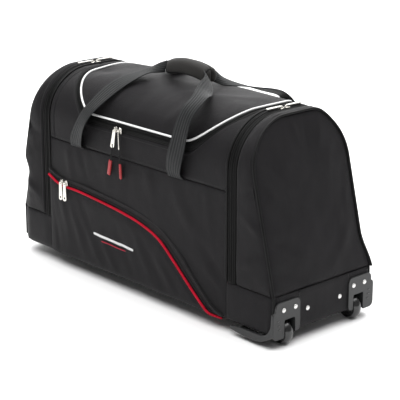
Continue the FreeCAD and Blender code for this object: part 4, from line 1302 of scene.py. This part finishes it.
PULL_WIDTH = 0.0080
PULL_THICK = 0.0018
EYE_RADIUS = 0.0016


def plate_with_eye(name, length):
    """A puller: a tab hanging from the origin, waisted, with an eye at each end."""
    bevel = 0.0003
    half = PULL_WIDTH / 2 - bevel
    neck = half * 0.72
    flare = half * 0.28
    shoulder = -0.0028
    rounding = half * 0.95

    def edge(sign, shares):
        for t in shares:
            yield sign * (neck + flare * t**1.2), shoulder - t * (length - 0.0075)

    path = [(neck * math.cos(a), shoulder + neck * math.sin(a)) for a in np.linspace(0, math.pi, 14)]
    path += edge(-1, np.linspace(0, 1, 12)[1:])
    for a in np.linspace(math.pi, 2 * math.pi, 16)[1:-1]:
        path.append((half * math.cos(a), -length + rounding + rounding * math.sin(a)))
    path += edge(1, np.linspace(1, 0, 12)[:-1])

    def ring(level, radius_x, radius_y, count=28):
        turns = [2 * math.pi * i / count for i in range(count)]
        return [(radius_x * math.cos(a), level + radius_y * math.sin(a)) for a in turns]

    holes = [ring(-0.0030, half * 0.38, half * 0.38), ring(-length + 0.0062, EYE_RADIUS, EYE_RADIUS * 1.55)]
    return turned_to_mesh(flat_plate(name, [path] + holes, PULL_THICK, bevel, 2))


def loop_tube(name, points, radius, closed=True):
    obj = turned_to_mesh(round_cord(name, points, radius, closed))
    obj.data.polygons.foreach_set("use_smooth", [True] * len(obj.data.polygons))
    return obj


# Y and Z of the slider's bridge, in tenths of a millimetre.
BRIDGE = ((42, 10), (40, 28), (26, 38), (-6, 40), (-34, 34), (-42, 14))


def make_slider(name, node, body, matrix):
    """A zip slider: a domed shoe with side lips and a bridge that holds the puller."""
    shoe = soft_box("shoe", (0.0092, 0.0112, 0.0030), 0.0013)
    for v in shoe.data.vertices:
        v.co.x *= 1 - 0.22 * (v.co.y / 0.0056)
        v.co.z += 0.0007 * (1 - (v.co.x / 0.0046) ** 2)
    bridge = loop_tube(
        "bridge",
        [(0, y / 1e4, z / 1e4) for y, z in BRIDGE],
        0.0009,
        closed=False,
    )
    crownpiece = soft_box("crown", (0.0034, 0.0030, 0.0016), 0.0006)
    moved(crownpiece, Matrix.Translation((0, 0.0032, 0.0024)))
    slider = joined(name, [shoe, bridge, crownpiece])
    moved(slider, matrix)
    finish_piece(slider, body, NICKEL, [node])


def facing(origin, right, up, out):
    """A matrix that puts a flat piece's X, Y and Z along three directions."""
    m = Matrix.Identity(4)
    for column, axis in enumerate((right, up, out)):
        for row in range(3):
            m[row][column] = axis[row]
    m.translation = origin
    return m


def joint(name):
    return next(j for j in frame["joints"] if j["name"] == name)


def make_front_pullers():
    """The pairs of sliders on the lid's zip and on the pocket, with what hangs from them."""
    out = Vector((0, -1, 0))
    for place in ("main", "pocket"):
        for word in ("left", "right"):
            node = f"{place}_{word}_slider"
            low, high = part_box(node)
            centre = (low + high) / 2
            turn = 0.30 if place == "main" else 0.12
            tilt = turn if word == "left" else -turn
            right = Vector((math.cos(tilt), 0, math.sin(tilt)))
            slider_up = Vector((-math.sin(tilt), 0, math.cos(tilt)))
            seat = Vector((centre.x, high.y - 0.0016, centre.z))
            stance = facing(seat, right, slider_up, out)
            make_slider(f"{place}_{word}_slider_shoe", node, f"{node}_body", stance)
            hinge = Vector(joint(f"{place}_{word}_puller_swing")["pos_m"])
            pull_low, pull_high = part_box(f"{place}_{word}_puller")
            drop = math.atan2(
                (pull_low.x + pull_high.x) / 2 - hinge.x, hinge.z - (pull_low.z + pull_high.z) / 2
            )
            length = (hinge.z - pull_low.z) / math.cos(drop) - 0.0006
            plate = plate_with_eye(f"{place}_{word}_pull_tab", length)
            yaw = 0.9 if (place, word) == ("main", "right") else -0.45
            along = Vector((-math.sin(drop), 0, math.cos(drop)))
            flat = Vector((math.cos(drop), 0, math.sin(drop)))
            side = flat * math.cos(yaw) + out * math.sin(yaw)
            face = side.cross(along)
            moved(plate, facing(hinge + along * 0.0012, side, along, face))
            finish_piece(plate, f"{place}_{word}_pull", NICKEL, [f"{place}_{word}_puller"])
            if place == "main":
                make_tag(word, hinge, along, flat, length)


def make_tag(word, hinge, along, flat, length):
    """A cord loop through the puller's eye, moulded into a ribbed rubber tag."""
    out = Vector((0, -1, 0))
    tag_low, tag_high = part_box(f"main_{word}_tag")
    eye = hinge - along * (length - 0.0060)
    tag_top = hinge - along * ((hinge.z - tag_high.z) / along.z)
    tag_end = hinge - along * ((hinge.z - tag_low.z) / along.z - 0.0008)
    reach = (tag_top - eye).length
    loop = []
    for a in np.linspace(0, 2 * math.pi, 36, endpoint=False):
        down = reach * (0.5 - 0.5 * math.cos(a)) * 1.06
        wide = 0.0019 * math.sin(a) * (1 + 0.5 * math.sin(a / 2) ** 2)
        bow = 0.0012 * math.sin(a)
        loop.append(eye - along * (down - 0.0012) + flat * wide + out * bow)
    cord = loop_tube(f"main_{word}_cord_loop", loop, 0.00085)
    finish_piece(cord, f"main_{word}_pull", CORD, [f"main_{word}_cord"])
    middle = (tag_top + tag_end) / 2
    size = (0.0088, (tag_top - tag_end).length + 0.001, 0.0040)
    block = soft_box("tag", size, 0.0015, 4)
    ribs = [block]
    for k in range(5):
        rib = soft_box("rib", (0.0062, 0.0012, 0.0046), 0.0004, 2)
        moved(rib, Matrix.Translation((0, (k - 2) * 0.0040, 0)))
        ribs.append(rib)
    tag = joined(f"main_{word}_tag_rubber", ribs)
    yaw = 0.5 if word == "right" else 0.15
    side = flat * math.cos(yaw) + out * math.sin(yaw)
    moved(tag, facing(middle, side, along, side.cross(along)))
    finish_piece(tag, f"main_{word}_pull", RED_RUBBER, [f"main_{word}_tag"])


def make_end_pullers():
    """The pair of sliders at the ridge of each end zip, with pullers lying along it."""
    for end in ("left", "right"):
        for word, side in (("front", -1), ("rear", 1)):
            name = f"{end}_{word}_end"
            low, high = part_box(f"{name}_slider")
            centre = (low + high) / 2
            along = Vector((0, -side, 0))
            seat = Vector((centre.x, centre.y, low.z + 0.0020))
            out = Vector((0, 0, 1))
            stance = facing(seat, along.cross(out), along, out)
            make_slider(f"{name}_slider_shoe", f"{name}_slider", f"{name}_slider_body", stance)
            hinge = Vector(joint(f"{name}_puller_swing")["pos_m"])
            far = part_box(f"{name}_puller")[0 if side < 0 else 1]
            length = abs(far.y - hinge.y) - 0.0006
            plate = plate_with_eye(f"{name}_pull_tab", length)
            moved(plate, facing(hinge + along * 0.0012, along.cross(out), along, out))
            finish_piece(plate, f"{name}_pull", NICKEL, [f"{name}_puller"])


# ---------------------------------------------------------------- wheels and housings


def lathe(name, profile, centre, count=48, closed=True):
    """A ring about Y from (radius, y) points."""
    profile = np.array(profile)
    angles = np.linspace(0, 2 * math.pi, count, endpoint=False)
    points = np.array(
        [[(r * math.cos(a), y, r * math.sin(a)) for r, y in profile] for a in angles]
    ) + np.array(centre)
    faces = grid_faces(count, len(profile), closed_rows=True, closed_cols=closed)
    obj = mesh_from(name, points.reshape(-1, 3), faces, points.reshape(-1, 3)[:, [0, 2]])
    recalculate(obj)
    return obj


def make_wheels():
    for word in ("front", "rear"):
        low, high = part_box(f"{word}_tyre")
        centre = (low + high) / 2
        radius, half = (high.z - low.z) / 2, (high.y - low.y) / 2
        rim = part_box(f"{word}_hub")[1].z - centre.z
        tread = [(rim, -half * 0.86), (rim + 0.0012, -half * 0.94), (rim + 0.003, -half * 0.985)]
        for a in np.linspace(-math.pi / 2, math.pi / 2, 15):
            wide = (half - 0.0048) * (a / (math.pi / 2)) + 0.0046 * math.sin(a)
            tread.append((radius - 0.0052 + 0.0052 * math.cos(a), wide))
        tread += [(rim + 0.003, half * 0.985), (rim + 0.0012, half * 0.94), (rim, half * 0.86)]
        tyre = lathe(f"{word}_wheel_tyre", tread, centre, 64)
        finish_piece(tyre, f"{word}_wheel", WHEEL_RUBBER, [f"{word}_tyre"])
        hub_half = (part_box(f"{word}_hub")[1].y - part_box(f"{word}_hub")[0].y) / 2
        bore = 0.0031
        steps = [
            (bore, -hub_half), (bore + 0.0035, -hub_half), (bore + 0.0042, -hub_half + 0.0008),
            (bore + 0.0046, -hub_half + 0.004), (rim - 0.0040, -hub_half + 0.004),
            (rim - 0.0030, -hub_half + 0.0012), (rim - 0.0004, -hub_half + 0.0008),
        ]
        steps += [(r, -y) for r, y in reversed(steps)]
        hub = lathe(f"{word}_wheel_hub", steps, centre, 48)
        finish_piece(hub, f"{word}_wheel", HUB_PLASTIC, [f"{word}_hub"])
        make_spokes(word, centre, bore + 0.004, rim - 0.0035, hub_half)


def make_spokes(word, centre, inner, outer, half):
    pieces = []
    for k in range(6):
        rib = soft_box("spoke", (outer - inner, half * 2 - 0.0030, 0.0022), 0.0005, 2)
        moved(rib, Matrix.Translation(((inner + outer) / 2, 0, 0)))
        moved(rib, Matrix.Rotation(k * math.pi / 3, 4, "Y"))
        moved(rib, Matrix.Translation(centre))
        pieces.append(rib)
    spokes = joined(f"{word}_wheel_spokes", pieces)
    finish_piece(spokes, f"{word}_wheel", HUB_PLASTIC)


def arc_points(centre, radius, start, end, count=10):
    return [
        (centre[0] + radius * math.cos(a), centre[1] + radius * math.sin(a))
        for a in np.radians(np.linspace(start, end, count))
    ]


def extruded_outline(name, outline_points, depth, bevel):
    """A plate from a closed 2-D outline, which its bevel doesn't widen."""
    obj = flat_plate(name, [outline_points], depth, bevel, 3)
    obj.data.offset = -bevel
    return turned_to_mesh(obj)


def make_housing(word, side):
    """The moulded corner: end plate with its wheel slot, a side flank and a bowed skid."""
    low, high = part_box(f"{word}_wheel_housing")
    tyre_low, tyre_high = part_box(f"{word}_tyre")
    out_y, in_y = (abs(low.y), abs(high.y)) if side < 0 else (abs(high.y), abs(low.y))
    slot_in, slot_out = sorted((abs(tyre_low.y), abs(tyre_high.y)))
    slot_in, slot_out = slot_in - 0.0035, slot_out + 0.0035
    top, slot_top = high.z, 0.0545
    r = 0.011
    plate = arc_points((out_y - 0.006 - r, top - r), r, 0, 90)
    plate += arc_points((in_y + r, top - r), r, 90, 180)
    plate += arc_points((in_y + 0.008, BASE + 0.010), 0.008, 180, 270, 6)
    plate += [(slot_in - 0.0006, BASE + 0.002)]
    plate += arc_points((slot_in + 0.003, slot_top - 0.003), 0.003, 180, 90, 5)
    plate += arc_points((slot_out - 0.003, slot_top - 0.003), 0.003, 90, 0, 5)
    plate += [(slot_out, BASE + 0.002), (slot_out + 0.002, BASE - 0.004)]
    plate += arc_points((out_y - 0.010, BASE + 0.006), 0.010, 270, 360, 8)
    plate += [(out_y, 0.066), (out_y - 0.0015, 0.071), (out_y - 0.006, 0.074)]
    face = extruded_outline("plate", plate, high.x - HALF_LENGTH + 0.0008, 0.0007)
    moved(face, facing((high.x - 0.0019, 0, 0), (0, side, 0), (0, 0, 1), (side, 0, 0)))

    back = HALF_LENGTH
    column = 0.381
    bend = 0.030
    start = low.x
    flank = [(back + 0.0012, 0.0265), (back + 0.0012, 0.068)]
    flank += [(back - 0.001, 0.071), (column + 0.001, 0.070)]
    flank += arc_points((column - bend, BASE - 0.001 + bend), bend, 0, -90, 14)
    flank += [(0.332, BASE - 0.0012), (0.302, BASE - 0.0016), (start + 0.010, BASE - 0.0034)]
    flank += arc_points((start + 0.0042, 0.0165), 0.0042, 120, 250, 7)
    keel = [(0.300, 0.0100), (0.320, 0.0082), (0.338, 0.0080)]
    keel += [(0.354, 0.0104), (0.368, 0.0160), (0.380, 0.0225)]
    flank += keel
    side_plate = extruded_outline("flank", flank, 0.0050, 0.0010)
    middle_y = out_y - 0.0022
    moved(side_plate, facing((0, side * middle_y, 0), (1, 0, 0), (0, 0, 1), (0, -1, 0)))

    upper = [(x, min(BASE - 0.0012, z + 0.013)) for x, z in reversed(keel)]
    skid = extruded_outline("keel", keel + upper, 0.0130, 0.0012)
    moved(skid, facing((0, side * (out_y - 0.0072), 0), (1, 0, 0), (0, 0, 1), (0, -1, 0)))

    well = []
    x0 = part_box(f"{word}_tyre")[0].x - 0.0045
    for y in (slot_in - 0.001, slot_out + 0.001):
        wall = soft_box("well_wall", (back - x0, 0.0022, 0.034), 0.0006, 2)
        moved(wall, Matrix.Translation(((back + x0) / 2, side * y, BASE + 0.015)))
        well.append(wall)
    roof = soft_box("well_roof", (back - x0, slot_out - slot_in + 0.004, 0.0022), 0.0006, 2)
    slot_y = side * (slot_in + slot_out) / 2
    moved(roof, Matrix.Translation(((back + x0) / 2, slot_y, slot_top + 0.0012)))
    rear = soft_box("well_back", (0.0022, slot_out - slot_in + 0.004, 0.033), 0.0006, 2)
    moved(rear, Matrix.Translation((x0, slot_y, BASE + 0.0155)))
    pieces = [face, side_plate, skid, roof, rear] + well
    housing = joined(f"{word}_corner_moulding", pieces)
    recalculate(housing)
    shade_by_angle(housing)
    finish_piece(housing, "shell", PLASTIC, [f"{word}_wheel_housing"])
    vents = []
    for k in range(3):
        slit = soft_box("vent", (0.0012, 0.0058, 0.0022), 0.0004, 2)
        place = (high.x + 0.0001, side * (out_y - 0.0125 - 0.0016 * k), 0.056 - 0.0085 * k)
        moved(slit, Matrix.Translation(place))
        vents.append(slit)
    finish_piece(joined(f"{word}_vent_slits", vents), "shell", WHEEL_RUBBER)


def shade_by_angle(obj, angle=35):
    """Keep hard corners crisp on a smooth-shaded mesh."""
    obj.data.set_sharp_from_angle(angle=math.radians(angle))


def make_rivets():
    places = []
    for side in (-1, 1):
        places += [(HALF_LENGTH + 0.003, side * 0.078, 0.074), (HALF_LENGTH + 0.003, side * 0.108, 0.074)]
        places.append((HALF_LENGTH, side * 0.043, 0.061))
    vertices, faces = [], []
    rings = [(0.0045, 0.0), (0.0046, 0.0004), (0.0041, 0.0011)]
    rings += [(0.0030, 0.0016), (0.0015, 0.0019), (0.0, 0.0020)]
    count = 24
    for place in places:
        start = len(vertices)
        for r, out in rings:
            for a in np.linspace(0, 2 * math.pi, count, endpoint=False):
                vertices.append((place[0] + out, place[1] + r * math.cos(a), place[2] + r * math.sin(a)))
        faces += grid_faces(len(rings), count, start, closed_cols=True)
        faces.append(tuple(range(start, start + count))[::-1])
    uvs = [(v[1], v[2]) for v in vertices]
    rivets = mesh_from("rivet_heads", vertices, faces, uvs)
    recalculate(rivets, weld=True)
    finish_piece(rivets, "shell", RIVET_METAL, ["rivets"])


# ---------------------------------------------------------------- stitching and the mark


def make_stitches(name, path, body):
    """A row of thread stitches along a path."""
    pitch, length, radius = 0.0042, 0.0030, 0.00032
    path = np.asarray(path, float)
    run = distance_along(path)
    places = np.arange(pitch / 2, run[-1] - pitch / 2, pitch)
    vertices, faces = [], []
    sides = 5
    for place in places:
        ends = (place - length / 2, place + length / 2)
        a, b = (np.array([np.interp(end, run, path[:, k]) for k in range(3)]) for end in ends)
        way = (b - a) / max(np.linalg.norm(b - a), 1e-9)
        up = skin_normal((a + b) / 2)
        side = np.cross(way, up)
        start = len(vertices)
        for t, fat in ((0, 0.35), (0.18, 1), (0.82, 1), (1, 0.35)):
            centre = a + (b - a) * t + up * (0.0 if fat == 1 else -0.0003)
            for k in range(sides):
                turn = 2 * math.pi * k / sides
                vertices.append(centre + radius * fat * (math.cos(turn) * side + math.sin(turn) * up))
        faces += grid_faces(4, sides, start, closed_cols=True)
        faces.append(tuple(range(start, start + sides))[::-1])
        faces.append(tuple(range(start + 3 * sides, start + 4 * sides)))
    rows = mesh_from(name, settle(vertices), faces, [(v[0], v[2]) for v in vertices])
    return finish_piece(rows, body, THREAD)


def make_seam_stitches():
    xs = np.linspace(-PANEL_END + 0.006, PANEL_END - 0.006, 80)
    for word, rear in (("front", False), ("rear", True)):
        s = S_SEAM + 0.0052
        place = 2 * S_RIDGE - s if rear else s
        make_stitches(f"{word}_seam_stitches", skin(xs, place + 0 * xs, 0.0002), "shell")
    plan = outline(ZIP_X + 0.004, ZIP_Y + 0.0012, ZIP_Y + 0.0012, ZIP_CORNER + 0.002)
    plan = np.vstack([plan, plan[:1]])
    make_stitches("lid_surround_stitches", on_skin(plan, 0.0006), "shell")
    flap = pocket_curve(0.86)[2:-6]
    make_stitches("pocket_flap_stitches", skin(flap[:, 0], flap[:, 1], 0.0050), "shell")
    for side, word in ((-1, "left"), (1, "right")):
        s = np.linspace(S_BAND + 0.006, 2 * S_RIDGE - S_BAND - 0.006, 200)
        panel_x, gusset_x = side * (PANEL_END - 0.005), side * (TAPE_END + 0.0058)
        make_stitches(f"{word}_panel_stitches", skin(panel_x + 0 * s, s, 0.0002), "shell")
        make_stitches(f"{word}_gusset_stitches", skin(gusset_x + 0 * s, s, 0.0020), f"{word}_end")


def make_mark():
    """A plain embroidered bar with a thinner red one under it, in place of any word."""
    for name, x0, x1, s0, half, material in (
        ("embroidered_bar", -0.118, 0.006, 0.0768, 0.0026, EMBROIDERY_WHITE),
        ("embroidered_line", -0.092, -0.020, 0.0660, 0.0011, EMBROIDERY_RED),
    ):
        xs = seamed(x0, x1, 60, (0.0, 0.0006, 0.0014, 0.003))
        v = np.linspace(-1, 1, 9)
        near = np.minimum(xs - x0, x1 - xs)
        wide = half * np.sqrt(np.clip(1 - (1 - np.clip(near / half, 0, 1)) ** 2, 0.03, 1))
        s = s0 - 0.045 * (xs[:, None] - x0) + wide[:, None] * v[None, :]
        x = np.broadcast_to(xs[:, None], s.shape)
        top = pocket_top(x)
        base = 0.0034 + pocket_swell(x, s, top)
        base = base + rumple(skin(x, s), 0.05, 0.0008, 41)
        points = skin(x, s, base + 0.0006 + 0.0006 * (1 - v[None, :] ** 2))
        bar = grids(name, [(points, np.stack([x * 0.3, s], -1))], thickness=0.0014, outward=(0, -1, 0))
        finish_piece(bar, "shell", material)


def pocket_top(x):
    edge = pocket_curve(0.0)
    return np.interp(x, edge[:, 0], edge[:, 1])


# ---------------------------------------------------------------- CAD nodes that stay


def dress(node, material):
    obj = frame["nodes"][node]
    if not obj.material_slots:
        obj.data.materials.append(material)
    for slot in obj.material_slots:
        slot.material = material


def dress_nodes():
    for node, material in (
        ("base_board", BOARD_PLASTIC),
        ("partitions", LINING),
        ("wheel_axles", STEEL),
        ("tube_foot_bracket", PLASTIC),
        ("handle_outer_tubes", TUBE_METAL),
        ("middle_tubes", TUBE_METAL),
        ("inner_tubes", TUBE_METAL),
        ("pull_grip", PLASTIC),
        ("release_button", BUTTON_PLASTIC),
        ("handle_cup", PLASTIC),
        ("base_feet", FOOT_RUBBER),
    ):
        dress(node, material)


# ---------------------------------------------------------------- stage, light and camera


def area(name, place, target, size, power):
    data = bpy.data.lights.new(name, "AREA")
    data.shape = "RECTANGLE"
    data.size, data.size_y = size
    data.energy = power
    lamp = add(bpy.data.objects.new(name, data))
    lamp.location = place
    way = Vector(target) - Vector(place)
    lamp.rotation_euler = way.to_track_quat("-Z", "Y").to_euler()


def make_stage():
    corners = [(-9, -9, 0), (9, -9, 0), (9, 9, 0), (-9, 9, 0)]
    floor = mesh_from("floor", corners, [(0, 1, 2, 3)], smooth=False)
    n = Nodes("pale_floor")
    n.shade(Base_Color=(0.96, 0.96, 0.96, 1), Roughness=0.8)
    floor.data.materials.append(n.material)
    world = bpy.data.worlds.new("studio")
    world.use_nodes = True
    world.node_tree.nodes["Background"].inputs[0].default_value = (1, 1, 1, 1)
    world.node_tree.nodes["Background"].inputs[1].default_value = 0.2
    bpy.context.scene.world = world
    area("ceiling", (0, 0, 3.2), (0, 0, 0), (6.0, 6.0), 370)
    area("back_glow", (-2.3, 2.2, 1.3), (0, 0, 0.35), (5.0, 2.6), 95)
    bpy.context.scene.view_settings.view_transform = "Standard"


AZIMUTH, ELEVATION = math.radians(47.5), math.radians(17.3)
TARGET = Vector((0.038, 0.010, 0.175))
DISTANCE = 2.85
LENS = 129.24


def make_camera():
    data = bpy.data.cameras.new("camera")
    data.lens = LENS
    data.sensor_width = 36
    data.clip_end = 50
    camera = add(bpy.data.objects.new("camera", data))
    back = Vector(
        (
            math.sin(AZIMUTH) * math.cos(ELEVATION),
            -math.cos(AZIMUTH) * math.cos(ELEVATION),
            math.sin(ELEVATION),
        )
    )
    camera.location = TARGET + back * DISTANCE
    camera.rotation_euler = (-back).to_track_quat("-Z", "Y").to_euler()
    bpy.context.scene.camera = camera


make_camera()
make_stage()
for is_rear in (False, True):
    make_lower_panel(is_rear)
    make_upper_panel(is_rear)
make_lid()
make_main_zip()
for end_side in (-1, 1):
    make_end(end_side)
    make_lower_end(end_side)
make_end_tapes()
make_base()
make_pocket()
make_handles()
make_front_pullers()
make_end_pullers()
make_wheels()
make_housing("front", -1)
make_housing("rear", 1)
make_rivets()
make_seam_stitches()
make_mark()
dress_nodes()
